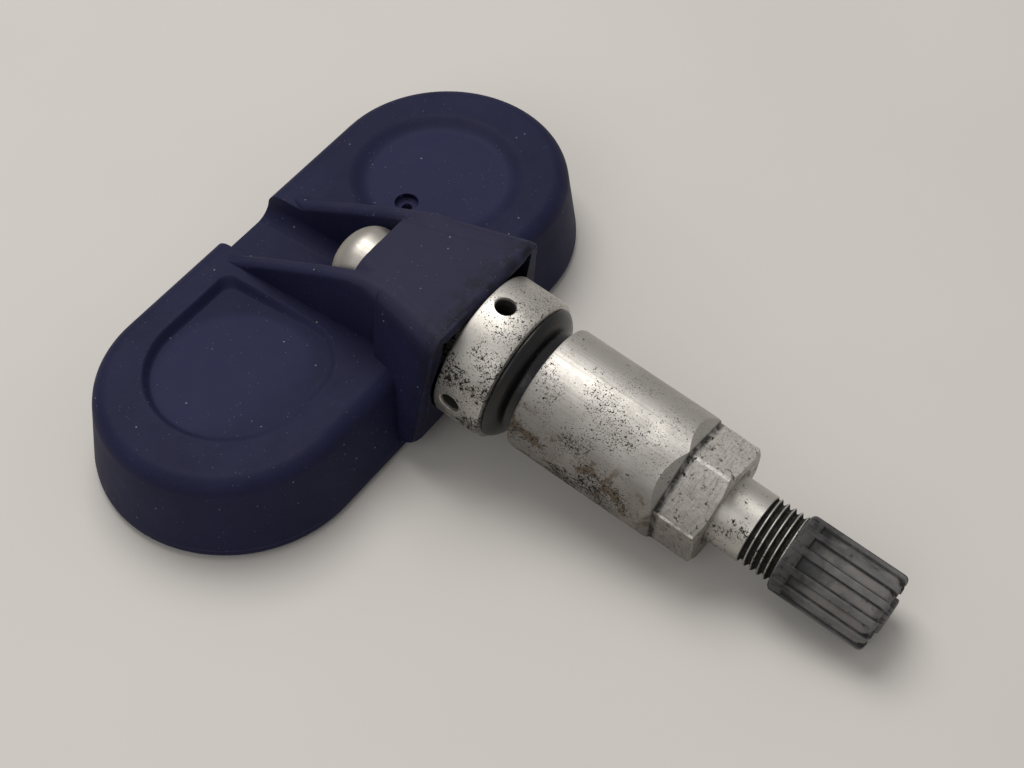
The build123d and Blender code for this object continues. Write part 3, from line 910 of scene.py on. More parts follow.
def combine(base: bpy.types.Mesh, others: Iterable[bpy.types.Mesh], operation: str) -> bpy.types.Mesh:
    """Joins or cuts closed meshes.

    Args:
        base: The mesh that is changed.
        others: The meshes that it is joined with or cut by.
        operation: DIFFERENCE, UNION or INTERSECT.

    Returns:
        The new mesh.
    """
    host = bpy.data.objects.new("host", base)
    bpy.context.collection.objects.link(host)
    tools = []
    for data in others:
        tool = bpy.data.objects.new("tool", data)
        bpy.context.collection.objects.link(tool)
        tools.append(tool)
        step = host.modifiers.new("step", "BOOLEAN")
        step.operation = operation
        step.solver = "EXACT"
        step.object = tool
    graph = bpy.context.evaluated_depsgraph_get()
    made = bpy.data.meshes.new_from_object(host.evaluated_get(graph))
    for done in (host, *tools):
        bpy.data.objects.remove(done)
    return made


def piece(name: str, data: bpy.types.Mesh, material: bpy.types.Material, body: Body,
          nodes: Sequence[str] = (), flat_faces: bool = False) -> bpy.types.Object:
    """Puts a finished mesh into the scene.

    Args:
        name: The piece's name.
        data: Its mesh, in the frame's metres.
        material: Its finish.
        body: The body that it moves with.
        nodes: The CAD nodes that it stands for.
        flat_faces: Whether large faces keep their own normals beside rounded edges.

    Returns:
        The new object.
    """
    data.materials.clear()
    data.materials.append(material)
    made = bpy.data.objects.new(name, data)
    bpy.context.collection.objects.link(made)
    if flat_faces:
        weighted = made.modifiers.new("flat_faces", "WEIGHTED_NORMAL")
        weighted.keep_sharp = True
    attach(made, body.value)
    if nodes:
        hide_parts(*nodes)
    LOG.info("%s: %d faces on %s", name, len(data.polygons), body.value)
    return made


@dataclass(frozen=True)
class Rib:
    """One cross-section of a web or of the hood's shoulder, in millimetres."""

    y: float
    top: float
    outer: float
    foot: float
    sole: float
    ridge: float
    edge: float
    inner: float = 4.30
    lean: float = 0.0
    tuck: float = 0.0
    knee: float = 3.2

    def ring(self, side: int) -> list[Point3]:
        """The section's corners, its two upper ones rounded.

        Args:
            side: 1 or -1.

        Returns:
            Points from the inner foot over the top to the outer foot.
        """
        near, quarter = self.inner - self.tuck, angles(0.0, 15.0, 7)
        corners = [(self.inner, self.sole), (self.inner, self.top - self.knee)]
        corners += [(near + self.edge * (1 - math.cos(a)), self.top - self.edge * (1 - math.sin(a)))
                    for a in quarter]
        corners += [(self.outer - self.ridge * (1 - math.sin(a)), self.top - self.ridge * (1 - math.cos(a)))
                    for a in quarter]
        corners.append((self.foot, self.sole))
        return [(side * x, self.y + self.lean * (self.top - z), z) for x, z in corners]


@dataclass
class Housing:
    """The moulded housing and its cover."""

    edge: float = 0.30
    cover_edge: float = 0.2
    edge_angle: float = 24.0
    smooth: float = 40.0
    lobe_top: float = 11.0
    dish_x: float = 17.6
    dish_y: float = 0.2
    dish_depth: float = 0.85
    dish_radius: float = 9.4
    dish_plug: float = 2.4
    swell_inside: float = 1.9
    swell_width: float = 2.7
    swell_steps: int = 12
    port_x: float = 12.8
    port_y: float = 0.9
    port_radius: float = 0.6
    port_depth: float = 4.0
    port_rim: float = 1.35
    port_rim_depth: float = 1.7
    wedge_x: float = -17.3
    wedge_radius: float = 9.7
    wedge_corner: float = 1.4
    wedge_side: float = -7.3
    wedge_turn: float = -2.0
    wedge_low: tuple[tuple[float, float, float, float], ...] = (
        (-12.3, -9.0, 0.6, -0.8), (-10.2, -7.9, 0.7, -0.7), (-8.4, -6.0, 0.8, -0.5), (-7.5, -4.2, 1.0, -0.3))
    wedge_slope: Point3 = (0.754, 0.0105, 0.0548)
    wedge_least: float = 0.06
    wedge_rim: float = 0.3
    wedge_wall: float = 1.0
    wedge_steps: int = 10
    wedge_plug_rim: float = 0.65
    wedge_plug_low: float = 9.0
    cutter_rise: float = 2.0
    cutter_skin: float = 0.03
    cutter_gap: float = 0.01
    web: float = 6.1
    web_sole: float = 8.0
    hood_height: float = 20.0
    hood_top: float = 19.90
    hood_inner: float = 4.6
    hood_tuck: float = 1.8
    hood_rear: float = 5.0
    hood_front: float = 8.4
    foot_rear: float = 8.2
    foot_front: float = 10.4
    hood_start: float = -7.15
    hood_end: float = -20.0
    hood_foot: float = 1.6
    grow_left: float = 0.30
    grow_right: float = 1.30
    lip: float = 0.90
    lip_from: float = -18.0
    lip_above: float = 7.0
    mouth_start: float = -2.41
    mouth_end: float = 3.0
    mouth_radius: float = 8.21
    mouth_low: float = 5.69
    mouth_high: float = 18.91
    mouth_left: float = -7.32
    mouth_right: float = 8.10
    head_start: float = -17.6
    head_nose: float = 4.2
    head_wide: float = -15.4
    head_radius: float = 4.58
    head_end: float = -14.35
    seat_start: float = -14.3
    seat_radius: float = 4.95
    seat_end: float = -13.35
    finish: HousingFinish = field(default_factory=HousingFinish)

    def flank(self, y: float, z: float) -> float:
        """Half of the hood's width at one place.

        Args:
            y: Along the valve.
            z: The height.

        Returns:
            The distance from the middle plane.
        """
        share = (self.hood_start - y) / (self.hood_start - self.hood_end)
        top = self.hood_rear + (self.hood_front - self.hood_rear) * share
        foot = self.foot_rear + (self.foot_front - self.foot_rear) * share
        return top + (foot - top) * (self.hood_height - z) / (self.hood_height - self.hood_foot)

    def shoulder(self, y: float, share: float, sole: float, ridge: float, lean: float, grow: float) -> Rib:
        """One section of the hood's shoulder.

        Args:
            y: Its place.
            share: How much of the growth it has.
            sole: Where its foot ends.
            ridge: Rounding of its outer edge.
            lean: How far the foot lies back for each millimetre of height.
            grow: How far the ridge stands out.

        Returns:
            The section.
        """
        outer = self.flank(y, self.hood_top - ridge) + grow * share
        foot = self.flank(y, sole) + 0.05 + 0.3 * grow * share
        return Rib(y, self.hood_top, outer, foot, sole, ridge, 0.0, self.hood_inner, lean, self.hood_tuck)

    def ribs(self, grow: float) -> list[Rib]:
        """The sections of one web, from the hood's front to the rear end of the web.

        Args:
            grow: How far the shoulder stands out.

        Returns:
            The sections in order.
        """
        w, sole, inner, tuck = self.web, self.web_sole, self.hood_inner, self.hood_tuck
        tilt = math.tan(math.radians(AXIS.tilt))
        shoulders = ((-19.72, 1.0, 4.3, 1.9, tilt), (-17.2, 1.0, 3.7, 1.9, 0.1), (-14.4, 0.95, 2.4, 1.8, 0.0),
                     (-12.0, 0.85, 6.0, 1.6, 0.0), (-10.5, 0.7, sole, 1.4, 0.0))
        return [*(self.shoulder(*row, grow) for row in shoulders),
                Rib(-10.34, self.hood_top, w + 0.15 + 0.7 * grow, w + 0.02, sole, 1.4, 0.0, inner, tuck=tuck),
                Rib(-8.5, self.hood_top, w + 0.35 * grow, w, sole, 1.0, 0.0, inner, tuck=tuck),
                Rib(-6.3, 19.25, w, w, sole, 0.75, 0.7), Rib(-4.1, 18.25, w, w, sole, 0.7, 0.7),
                Rib(3.0, 14.75, w, w, sole, 0.7, 0.7), Rib(6.5, 12.90, w, w, sole, 0.7, 0.7),
                Rib(9.0, 11.62, w + 0.1, w + 0.1, sole, 0.7, 0.7, 4.35, knee=2.4),
                Rib(10.7, 11.08, w + 0.4, w + 0.4, sole, 0.6, 0.6, 4.8, knee=2.0),
                Rib(12.0, 10.85, w + 0.7, w + 0.7, sole, 0.5, 0.5, 5.2, knee=2.0)]

    def crest(self, side: int) -> bpy.types.Mesh:
        """The top of one web, which runs forward into the hood's shoulder.

        Args:
            side: 1 or -1.

        Returns:
            A closed mesh to join with the housing.
        """
        grow = self.grow_right if side > 0 else self.grow_left
        shape = Shape().lofted(rib.ring(side) for rib in self.ribs(grow))
        shape.eased(self.lip, 60.0, 4, (*LOWEST[:2], self.lip_above), (HIGHEST[0], self.lip_from, HIGHEST[2]))
        return shape.cleared_of_wear_and_highlight().facets().mesh("web_crest", TO_METRES, self.smooth)

    def dish(self) -> tuple[bpy.types.Mesh, list[bpy.types.Mesh]]:
        """The soft round dish of the right lobe and its port.

        Returns:
            What fills the place, and the cutters for the dish, the port and its rim.
        """
        r, deep, gap, last = self.dish_radius, self.dish_depth, self.cutter_gap, self.swell_steps
        centre = TO_METRES @ Matrix.Translation((self.dish_x, self.dish_y, self.lobe_top))
        low, wide = -self.dish_plug, r + 0.6
        plug = Shape().turned([(0.0, low), (wide, low), (wide, 0.0), (0.0, 0.0)], 96, False)
        swell = [(r - self.swell_inside + self.swell_width * k / last,
                  gap - (deep + gap) * (0.5 + 0.5 * math.cos(math.pi * k / last))) for k in range(last + 1)]
        wide, high = r + 1.6, self.cutter_rise
        bowl = Shape().turned([(0.0, -deep), *swell, (wide, self.cutter_skin), (wide, high), (0.0, high)],
                              96, False)
        spot = TO_METRES @ Matrix.Translation((self.port_x, self.port_y, self.lobe_top))
        wide, low = self.port_rim, -self.port_rim_depth
        rim = Shape().turned([(0.0, low), (wide - 0.2, low), (wide, low + 0.2), (wide, 1.0), (0.0, 1.0)], 48,
                             False)
        low, wide = -self.port_depth, self.port_radius
        hole = Shape().turned([(0.0, low), (wide, low), (wide, 0.0), (0.0, 0.0)], 32, False)
        cutters = [bowl.mesh("bowl", centre), rim.mesh("rim", spot), hole.mesh("hole", spot)]
        return plug.mesh("plug", centre), cutters

    def wedge_outline(self, grow: float) -> list[Point2]:
        """The left recess seen from above: round, with a square side next to the web.

        Args:
            grow: How far the outline is moved outwards.

        Returns:
            Its corners, anticlockwise.
        """
        corner, r, turn = self.wedge_corner, self.wedge_radius + grow, self.wedge_turn
        right, top = self.wedge_side + grow, self.dish_y + r
        bend = [(right - corner + corner * math.cos(a), top - corner + corner * math.sin(a))
                for a in angles(0.0, 15.0, 7)]
        edge = [(right - corner + (self.wedge_x - right + corner) * k / 8, top) for k in range(1, 8)]
        bow = [(self.wedge_x + r * math.cos(a), self.dish_y + r * math.sin(a)) for a in angles(90.0, 5.0, 40)]
        low = [(x + across * grow, y + along * grow) for x, y, across, along in self.wedge_low]
        side = [(right, turn + (top - corner - turn) * k / 8) for k in range(8)]
        return bend + edge + bow + low + side

    def wedge_ring(self, grow: float, share: float) -> list[Point3]:
        """One ring of the soft wall of the left recess.

        Args:
            grow: How far the outline is moved outwards.
            share: How much of the depth it has.

        Returns:
            Its points.
        """
        at, across, along = self.wedge_slope
        ring = []
        for x, y in self.wedge_outline(grow):
            deep = max(self.wedge_least, at + across * x + along * y)
            ring.append((x, y, self.lobe_top + (self.cutter_gap - (deep + self.cutter_gap) * share)))
        return ring

    def wedge(self) -> tuple[bpy.types.Mesh, bpy.types.Mesh]:
        """The soft-edged recess of the left lobe, deepest in its square corner.

        Returns:
            What fills the place, and the cutter.
        """
        plug = Shape()
        outline = self.wedge_outline(self.wedge_plug_rim)
        base = plug.bm.faces.new([plug.bm.verts.new((x, y, self.wedge_plug_low)) for x, y in outline])
        lifted = bmesh.ops.extrude_face_region(plug.bm, geom=[base])["geom"]
        bmesh.ops.translate(plug.bm, verts=[v for v in lifted if isinstance(v, bmesh.types.BMVert)],
                            vec=(0, 0, self.lobe_top - self.wedge_plug_low))
        last = self.wedge_steps
        rings = [[(x, y, self.lobe_top + rise) for x, y in self.wedge_outline(self.wedge_rim)]
                 for rise in (self.cutter_rise, self.cutter_skin)]
        rings += [self.wedge_ring(-self.wedge_wall * k / last, 0.5 - 0.5 * math.cos(math.pi * k / last))
                  for k in range(last + 1)]
        bowl = Shape().lofted(rings)
        return plug.clean().facets().mesh("wedge_plug", TO_METRES), bowl.facets().mesh("wedge_bowl", TO_METRES)

    def mouth(self) -> list[bpy.types.Mesh]:
        """Cutters for the hood's hollow front and for the screw's seat.

        Returns:
            The closed meshes.
        """
        start, end, r = self.mouth_start, self.mouth_end, self.mouth_radius
        rod = Shape().turned([(0.0, start), (r, start), (r, end), (0.0, end)], 128, False)
        room = Shape().block((-20.0, -40.0, self.mouth_low), (20.0, 0.0, self.mouth_high))
        round_part = combine(rod.mesh("rod", AXIS.matrix), [room.mesh("room", TO_METRES)], "INTERSECT")
        rise = (self.mouth_high - AXIS.origin.z) / math.cos(math.radians(AXIS.tilt))
        corner = Shape().block((self.mouth_left, 0.0, start), (self.mouth_right, rise, end))
        seat = Shape().turned([(0.0, self.head_start), (self.head_nose, self.head_start),
                               (self.head_radius, self.head_wide), (self.head_radius, self.head_end),
                               (self.seat_radius, self.seat_start), (self.seat_radius, self.seat_end),
                               (0.0, self.seat_end)], 96, False)
        return [round_part, corner.mesh("corner", AXIS.matrix), seat.mesh("seat", AXIS.matrix)]

    def steps(self) -> list[tuple[bpy.types.Mesh, str]]:
        """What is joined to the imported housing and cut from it.

        Returns:
            Each mesh with its operation, in order.
        """
        plug, cutters = self.dish()
        wedge_plug, wedge_bowl = self.wedge()
        joined, cut = "UNION", "DIFFERENCE"
        return [(wedge_plug, joined), (wedge_bowl, cut), (plug, joined), *((tool, cut) for tool in cutters),
                (self.crest(-1), joined), (self.crest(1), joined), *((tool, cut) for tool in self.mouth())]

    def build(self) -> None:
        """Makes the housing and the cover, with rounded edges."""
        material = self.finish.material()
        shell = Shape().merged(frame["nodes"]["housing"].data).mesh("housing_shell", TO_METRES)
        for tool, operation in self.steps():
            shell = Shape().merged(combine(shell, [tool], operation)).facets().mesh("housing_shell", TO_METRES)
        shape = Shape().taken(shell).eased(self.edge, self.edge_angle, 3)
        piece("housing_shell", shape.mesh("housing_shell", TO_METRES, self.smooth), material, Body.SENSOR,
              ["housing"], True)
        cover = Shape().taken(frame["nodes"]["base_cover"].data).eased(self.cover_edge, self.edge_angle, 2)
        piece("housing_cover", cover.mesh("housing_cover", TO_METRES, self.smooth), material, Body.SENSOR,
              ["base_cover"], True)


@dataclass
class Stem:
    """The turned valve stem: boss, collar, base thread, plain shank and valve thread."""

    boss_radius: float = 4.2
    boss_end: float = -10.4
    screw_radius: float = 2.53
    screw_end: float = -2.5
    collar_radius: float = 8.25
    collar_length: float = 5.75
    collar_edge: float = 0.4
    collar_soft: float = 0.12
    base_radius: float = 4.5
    base_end: float = 18.5
    radius: float = 3.87
    root: float = 3.42
    thread_start: float = 34.9
    thread_end: float = 46.7
    pitch: float = 0.794
    tip: float = 47.5
    bore: float = 1.1
    throat: float = 1.95
    throat_end: float = 32.6
    seat: float = 41.4
    chamber: float = 2.65
    hole_radius: float = 1.1
    hole_station: float = 2.1
    hole_depth: float = 2.6
    hole_rim: float = 0.15

    def pin_hole(self, quarter: int) -> bpy.types.Mesh:
        """The countersunk radial hole at one quarter turn, as a cutter.

        Args:
            quarter: 0 to 3.

        Returns:
            The cutter's mesh.
        """
        r, wide = self.hole_radius, self.hole_radius + self.hole_rim
        section = [(0.0, -self.hole_depth), (r, -self.hole_depth), (r, -self.hole_rim),
                   (r + 0.3 * self.hole_rim, -0.45 * self.hole_rim), (wide, 0.0), (wide, 1.0), (0.0, 1.0)]
        place = (Matrix.Rotation(quarter * math.pi / 2, 4, "Z")
                 @ Matrix.Translation((self.collar_radius, 0.0, self.hole_station))
                 @ Matrix.Rotation(math.pi / 2, 4, "Y"))
        return Shape().turned(section, 48, False).laid(place).mesh("pin_hole", AXIS.matrix)

    def outline(self) -> list[Point2]:
        """The stem's section.

        Returns:
            Radius and station of each corner, outside then bore.
        """
        c, soft, wide, end = self.collar_edge, self.collar_soft, self.collar_radius, self.collar_length
        outer = [(self.screw_radius, self.boss_end), (self.boss_radius - c, self.boss_end),
                 (self.boss_radius, self.boss_end + c), (self.boss_radius, 0.0), (wide - c, 0.0),
                 (wide - soft, soft), (wide, c), (wide, end - c), (wide - soft, end - soft), (wide - c, end),
                 (self.base_radius, end), (self.base_radius, self.base_end - 0.6),
                 (self.radius, self.base_end), (self.radius, self.thread_start - 0.12),
                 (self.root, self.thread_start + 0.1), (self.root, self.tip - 0.1), (self.root - 0.1, self.tip)]
        inner = [(self.chamber, self.tip), (self.chamber, self.seat), (self.throat, self.seat),
                 (self.throat, self.throat_end), (self.bore, self.throat_end - 0.8),
                 (self.bore, self.screw_end + 1.4), (self.screw_radius, self.screw_end)]
        return outer + inner

    def build(self, material: bpy.types.Material) -> None:
        """Makes the stem and its thread.

        Args:
            material: The stem's finish.
        """
        body = Shape().turned(self.outline(), 160).mesh("valve_stem_body", AXIS.matrix)
        body = combine(body, [self.pin_hole(k) for k in range(4)], "DIFFERENCE")
        body.set_sharp_from_angle(angle=math.radians(SHARP))
        piece("valve_stem_body", body, material, Body.SENSOR, ["valve_stem"])
        half, inside, crest = self.pitch / 2 - 0.03, self.root - 0.1, 0.05
        section = [(inside, -half), (self.radius, -crest), (self.radius, crest), (inside, half)]
        turns = (self.thread_end - self.thread_start) / self.pitch
        ridge = Shape().helix(section, self.thread_start + 0.25, turns, self.pitch, 72)
        piece("valve_stem_thread", ridge.mesh("valve_stem_thread", AXIS.matrix, 50.0), material,
              Body.SENSOR)


@dataclass
class Fastening:
    """The domed screw and its washer behind the hood."""

    seat: float = -13.4
    washer: float = 4.75
    washer_thick: float = 0.7
    washer_edge: float = 0.12
    hole: float = 2.6
    head: float = 4.45
    head_height: float = 4.3
    head_rim: float = 1.0
    shank: float = 2.5
    shank_end: float = -3.0
    vent: float = 0.8
    drive: float = 3.0
    drive_depth: float = 1.5

    def build(self, material: bpy.types.Material) -> None:
        """Makes the screw and the washer.

        Args:
            material: Their finish.
        """
        seat = self.seat - self.washer_thick
        rise = self.head_height - self.head_rim
        dome = [(self.head * math.cos(a), seat - self.head_rim - rise * math.sin(a))
                for a in angles(0.0, 6.0, 14)]
        section = [(self.vent, self.shank_end), (self.shank - 0.4, self.shank_end),
                   (self.shank, self.shank_end - 0.4), (self.shank, seat), (self.head - 0.08, seat),
                   (self.head, seat - 0.08), *dome, (self.vent, seat - self.head_height)]
        screw = Shape().turned(section, 96).mesh("domed_screw", AXIS.matrix)
        top = seat - self.head_height
        socket = Shape().prism(self.drive, 0.0, top - 1, top + self.drive_depth)
        screw = combine(screw, [socket.mesh("drive", AXIS.matrix)], "DIFFERENCE")
        screw.set_sharp_from_angle(angle=math.radians(SHARP))
        piece("domed_screw", screw, material, Body.SENSOR, ["retaining_screw"])
        wide, edge = self.washer, self.washer_edge
        ring = [(self.hole, seat), (wide - edge, seat), (wide, seat + edge), (wide, self.seat - edge),
                (wide - edge, self.seat), (self.hole, self.seat)]
        washer = Shape().turned(ring, 96).mesh("domed_screw_washer", AXIS.matrix)
        piece("domed_screw_washer", washer, material, Body.SENSOR, ["screw_washer"])


@dataclass
class Grommet:
    """The rubber grommet between the collar and the nut."""

    start: float = 5.75
    lip: float = 7.7
    neck: float = 5.9
    neck_end: float = 10.2
    neck_edge: float = 0.3
    bore: float = 4.53
    lip_curve: tuple[Point2, ...] = (
        (0.22, 0.0), (0.05, 0.1), (0.0, 0.25), (0.06, 0.45), (0.22, 0.68), (0.45, 0.92), (0.72, 1.15))
    neck_curve: tuple[Point2, ...] = ((0.62, 1.40), (0.28, 1.56), (0.08, 1.68), (0.0, 1.85))

    def build(self, material: bpy.types.Material) -> None:
        """Makes the grommet.

        Args:
            material: Its finish.
        """
        section = [(self.bore, self.start), *((self.lip - back, self.start + s) for back, s in self.lip_curve),
                   *((self.neck + out, self.start + s) for out, s in self.neck_curve),
                   (self.neck, self.neck_end - self.neck_edge), (self.neck - self.neck_edge, self.neck_end),
                   (self.bore, self.neck_end)]
        made = Shape().turned(section, 128).mesh("rubber_grommet", AXIS.matrix, 50.0)
        piece("rubber_grommet", made, material, Body.SENSOR, ["grommet"])


@dataclass
class SleeveNut:
    """The long nut with a milled hexagonal end."""

    start: float = 8.54
    shoulder: float = 25.9
    end: float = 30.9
    radius: float = 7.08
    across: float = 12.0
    turn: float = 41.7
    mouth: float = 6.3
    mouth_end: float = 11.4
    thread: float = 4.55
    thread_end: float = 20.0
    bore: float = 3.95
    bore_flare: float = 0.52
    slant: float = 1.15
    crown_radius: float = 6.25
    crown_drop: float = 1.45
    hexagon_edge: float = 0.2
    weld: float = 0.004

    def runout(self) -> bpy.types.Mesh:
        """What the milled flats leave open of the sleeve's end, as a cutter.

        Returns:
            A ring with a tapering hexagonal hole.
        """
        step = self.radius - self.across / 2
        grow = step + 1.0
        start = self.shoulder - self.slant * grow / step
        wide = self.across + 2 * grow
        core = Shape().prism(wide, self.turn, start - 0.01, self.shoulder + 0.01, self.across / wide)
        edge = self.radius + 0.9
        end = self.shoulder + 0.005
        ring = Shape().turned([(0.0, start), (edge, start), (edge, end), (0.0, end)], 64, False)
        return combine(ring.mesh("ring", AXIS.matrix), [core.mesh("core", AXIS.matrix)], "DIFFERENCE")

    def build(self, material: bpy.types.Material) -> None:
        """Makes the nut.

        Args:
            material: Its finish.
        """
        first, root = self.start, self.shoulder - 2
        sleeve = [(0.0, first), (self.radius - 0.45, first), (self.radius - 0.14, first + 0.13),
                  (self.radius, first + 0.5), (self.radius, self.shoulder), (0.0, self.shoulder)]
        outside, face = 9.0, self.crown_radius
        crown = [(0.0, root), (outside, root), (outside, self.end - self.crown_drop), (face, self.end),
                 (0.0, self.end)]
        flare = self.bore + self.bore_flare
        inside = [(0.0, first - 1), (self.mouth, first - 1), (self.mouth, self.mouth_end),
                  (self.thread, self.mouth_end), (self.thread, self.thread_end - 0.6),
                  (self.bore, self.thread_end), (self.bore, self.end - 0.5), (flare, self.end),
                  (flare, self.end + 1), (0.0, self.end + 1)]
        hexagon = Shape().prism(self.across, self.turn, root, self.end + 0.5).eased(self.hexagon_edge, 50.0, 2)
        cone = Shape().turned(crown, 96, False).mesh("crown", AXIS.matrix)
        head = combine(hexagon.mesh("hexagon", AXIS.matrix), [cone], "INTERSECT")
        body = Shape().turned(sleeve, 192, False).mesh("sleeve", AXIS.matrix)
        body = combine(body, [self.runout()], "DIFFERENCE")
        body = combine(body, [head], "UNION")
        body = combine(body, [Shape().turned(inside, 96, False).mesh("inside", AXIS.matrix)], "DIFFERENCE")
        made = Shape().merged(body, self.weld).mesh("sleeve_nut", TO_METRES, 24.0)
        piece("sleeve_nut", made, material, Body.NUT, ["union_nut"])


@dataclass
class DustCap:
    """The ribbed cap over the valve."""

    start: float = 38.66
    band_end: float = 40.4
    tip: float = 50.2
    radius: float = 4.42
    core: float = 4.1
    nub: float = 2.0
    ribs: int = 12
    rib_turn: float = 22.7
    rib_width: float = 0.8
    rib_depth: float = 0.9
    rib_sink: float = 0.02
    rib_start: float = 0.25
    rib_end: float = 49.85
    rib_edge: float = 0.10
    rib_nose: float = 0.60
    shoulder_curve: tuple[Point2, ...] = (
        (0.0, 1.4), (0.06, 1.15), (0.22, 0.92), (0.48, 0.72), (0.85, 0.60))
    nub_curve: tuple[Point2, ...] = (
        (0.12, 0.55), (0.0, 0.48), (0.0, 0.2), (-0.06, 0.07), (-0.22, 0.0))
    bore: float = 3.90
    seal_bore: float = 3.55
    stem_end: float = 47.5
    seal_end: float = 48.45

    def build(self, material: bpy.types.Material) -> None:
        """Makes the cap's shell and its ribs.

        Args:
            material: Its finish.
        """
        r, top, nub, band = self.core, self.tip, self.nub, self.radius - 0.1
        outer = [(self.bore + 0.1, self.start), (band - 0.20, self.start), (band, self.start + 0.2),
                 (band + 0.02, self.band_end - 0.2), (band - 0.04, self.band_end - 0.08),
                 (r + 0.02, self.band_end), (r, self.band_end + 0.2),
                 *((r - back, top - down) for back, down in self.shoulder_curve),
                 *((nub + out, top - down) for out, down in self.nub_curve), (0.0, top)]
        inner = [(0.0, self.seal_end), (self.seal_bore, self.seal_end), (self.seal_bore, self.stem_end),
                 (self.bore, self.stem_end), (self.bore, self.start + 0.4)]
        shape = Shape().turned(outer + inner, 120)
        first, deep = self.start + self.rib_start, self.rib_depth
        length = self.rib_end - first
        size = Vector((deep, self.rib_width, length))
        centre = Vector((self.radius - deep / 2 - self.rib_sink, 0.0, first + length / 2))
        for k in range(self.ribs):
            shape.bar(size, centre, self.rib_turn + 360.0 / self.ribs * k, self.rib_edge, self.rib_nose)
        piece("dust_cap", shape.mesh("dust_cap", AXIS.matrix, 40.0), material, Body.CAP,
              ["valve_cap"])


@dataclass(frozen=True)
class Innards:
    """The finishes of what stays as packed: electronics, seals and the valve core."""

    slots: tuple[PlainFinish, ...] = (
        PlainFinish("board_laminate", (0.02, 0.16, 0.06), 0.35),
        PlainFinish("cell_steel", (0.62, 0.62, 0.60), 0.25, 1.0),
        PlainFinish("tab_steel", (0.60, 0.58, 0.54), 0.30, 1.0),
        PlainFinish("chip_plastic", (0.03, 0.03, 0.03), 0.45),
        PlainFinish("seal_rubber", (0.02, 0.02, 0.02), 0.50),
        PlainFinish("antenna_metal", (0.72, 0.50, 0.25), 0.25, 1.0),
        PlainFinish("core_brass", (0.72, 0.55, 0.28), 0.25, 1.0),
    )

    def dress(self) -> dict[str, bpy.types.Material]:
        """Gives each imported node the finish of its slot.

        Returns:
            The materials by slot.
        """
        made = {finish.name: finish.material() for finish in self.slots}
        for part in frame["record"]["subparts"]:
            if part["material_slot"] in made:
                data = frame["nodes"][part["node"]].data
                data.materials.clear()
                data.materials.append(made[part["material_slot"]])
                LOG.info("%s: %s", part["node"], part["material_slot"])
        return made


@dataclass
class ReturnSpring:
    """The valve core's wire spring, wound at its full length; in the real valve it shortens as the pin is
    pressed.
    """

    wire: float = 0.13
    radius: float = 0.92
    foot: float = 36.62
    head: float = 43.86
    turns: int = 6
    travel: float = 1.5
    joint: str = "core_press"

    def build(self, material: bpy.types.Material) -> None:
        """Winds the spring at its full length.

        Args:
            material: Its finish.
        """
        section = [(self.radius + self.wire * math.cos(a), self.wire * math.sin(a))
                   for a in angles(0.0, 45.0, 8)]
        pitch = (self.head - self.foot - 2 * self.wire) / self.turns
        coil = Shape().helix(section, self.foot + self.wire, self.turns, pitch, 36)
        made = piece("core_return_spring", coil.mesh("core_return_spring", AXIS.matrix, 60.0), material,
                     Body.SENSOR, ["core_spring"])
        1.0 - self.travel / (self.head - self.foot)
        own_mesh(made)


@dataclass(frozen=True)
class Lamp:
    """One soft square lamp, in metres and watts."""

    name: str
    place: Point3
    size: float
    power: float
    colour: Colour = (1.0, 1.0, 1.0)

    def build(self, aim: Vector) -> None:
        """Hangs the lamp.

        Args:
            aim: The point that it faces.
        """
        data = bpy.data.lights.new(self.name, "AREA")
        data.size = self.size
        data.energy = self.power
        data.color = self.colour
        made = bpy.data.objects.new(self.name, data)
        made.location = self.place
        made.rotation_euler = (aim - Vector(self.place)).to_track_quat("-Z", "Y").to_euler()
        bpy.context.collection.objects.link(made)


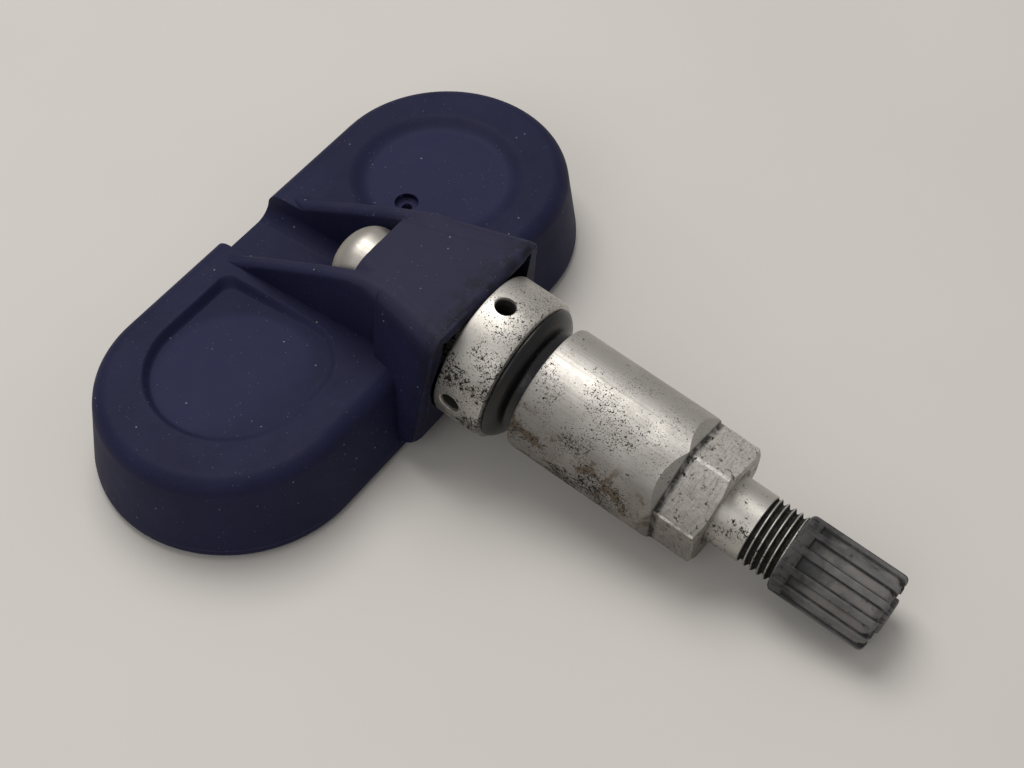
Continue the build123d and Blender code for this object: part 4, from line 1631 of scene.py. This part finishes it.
@dataclass(frozen=True)
class Studio:
    """The floor, the soft light and the camera."""

    floor_colour: Colour = (0.605, 0.580, 0.548)
    floor_half: float = 0.7
    lit: Point3 = (0.0, -0.02, 0.0)
    lamps: tuple[Lamp, ...] = (
        Lamp("key_lamp", (0.10, 0.16, 0.50), 0.34, 1.75, (1.0, 0.98, 0.95)),
        Lamp("side_lamp", (-0.40, -0.05, 0.36), 0.30, 0.4))
    room_colour: Colour = (0.98, 0.97, 0.96)
    room_light: float = 0.40
    target: Point3 = (-0.12, -22.96, 8.0)
    azimuth: float = -54.23
    elevation: float = 51.14
    distance: float = 207.84
    focal_pixels: float = 1977.7
    image_width: int = 1024
    sensor_width: float = 36.0
    nearest: float = 0.01

    def floor(self) -> None:
        """A plain pale floor."""
        g = Graph("pale_floor", Layout.HOUSING)
        tone = g.noise(0.02, 3.0).step(0.2, 0.8)
        darker = tuple(c * 0.96 for c in self.floor_colour)
        material = g.set(Base_Color=g.mix(tone, self.floor_colour, darker), Roughness=0.6)
        bm = bmesh.new()
        bmesh.ops.create_grid(bm, x_segments=1, y_segments=1, size=self.floor_half)
        data = bpy.data.meshes.new("pale_floor")
        bm.to_mesh(data)
        bm.free()
        data.materials.append(material)
        made = bpy.data.objects.new("pale_floor", data)
        bpy.context.collection.objects.link(made)

    def light(self) -> None:
        """Lamps and the world."""
        for lamp in self.lamps:
            lamp.build(Vector(self.lit))
        world = bpy.data.worlds.new("soft_room")
        bpy.context.scene.world = world
        world.use_nodes = True
        back = world.node_tree.nodes["Background"]
        back.inputs["Color"].default_value = (*self.room_colour, 1.0)
        back.inputs["Strength"].default_value = self.room_light

    def camera(self) -> None:
        """The camera at the picture's angle."""
        a, e = math.radians(self.azimuth), math.radians(self.elevation)
        back = Vector((math.sin(a) * math.cos(e), -math.cos(a) * math.cos(e), math.sin(e)))
        data = bpy.data.cameras.new("camera")
        data.sensor_width = self.sensor_width
        data.lens = self.sensor_width * self.focal_pixels / self.image_width
        data.clip_start = self.nearest
        made = bpy.data.objects.new("camera", data)
        made.location = Vector(self.target) * MM + back * self.distance * MM
        made.rotation_euler = (-back).to_track_quat("-Z", "Y").to_euler()
        bpy.context.collection.objects.link(made)
        bpy.context.scene.camera = made

    def build(self) -> None:
        """Floor, light and camera."""
        self.floor()
        self.light()
        self.camera()
        bpy.context.scene.view_settings.view_transform = "Standard"


def main() -> None:
    """Builds every piece in order."""
    logging.basicConfig(level=logging.INFO, format="%(message)s")
    stem = MetalFinish("stem_aluminium", (0.60, 0.578, 0.540), (0.53, 0.505, 0.465), rough=0.42, streaks=0.15,
                       pits=1.15, low_shade_and_dirt=0.32, thread_from=34.85, hole_shade_radius=8.05)
    steel = MetalFinish("screw_steel", (0.50, 0.475, 0.435), (0.38, 0.355, 0.315), rough=0.44, streaks=0.5,
                        pits=0.15, low_shade_and_dirt=0.1)
    nut = MetalFinish("nut_aluminium", (0.51, 0.490, 0.460), (0.44, 0.422, 0.395), rough=0.49, streaks=1.0,
                      pits=1.02, low_shade_and_dirt=0.72, patch_length=17.0, hexagon_from=25.9)
    ReturnSpring().build(Innards().dress()["tab_steel"])
    Housing().build()
    Stem().build(stem.material())
    Fastening().build(steel.material())
    Grommet().build(RubberFinish().material())
    SleeveNut().build(nut.material())
    DustCap().build(CapFinish().material())
    Studio().build()


if __name__ == "__main__":
    main()
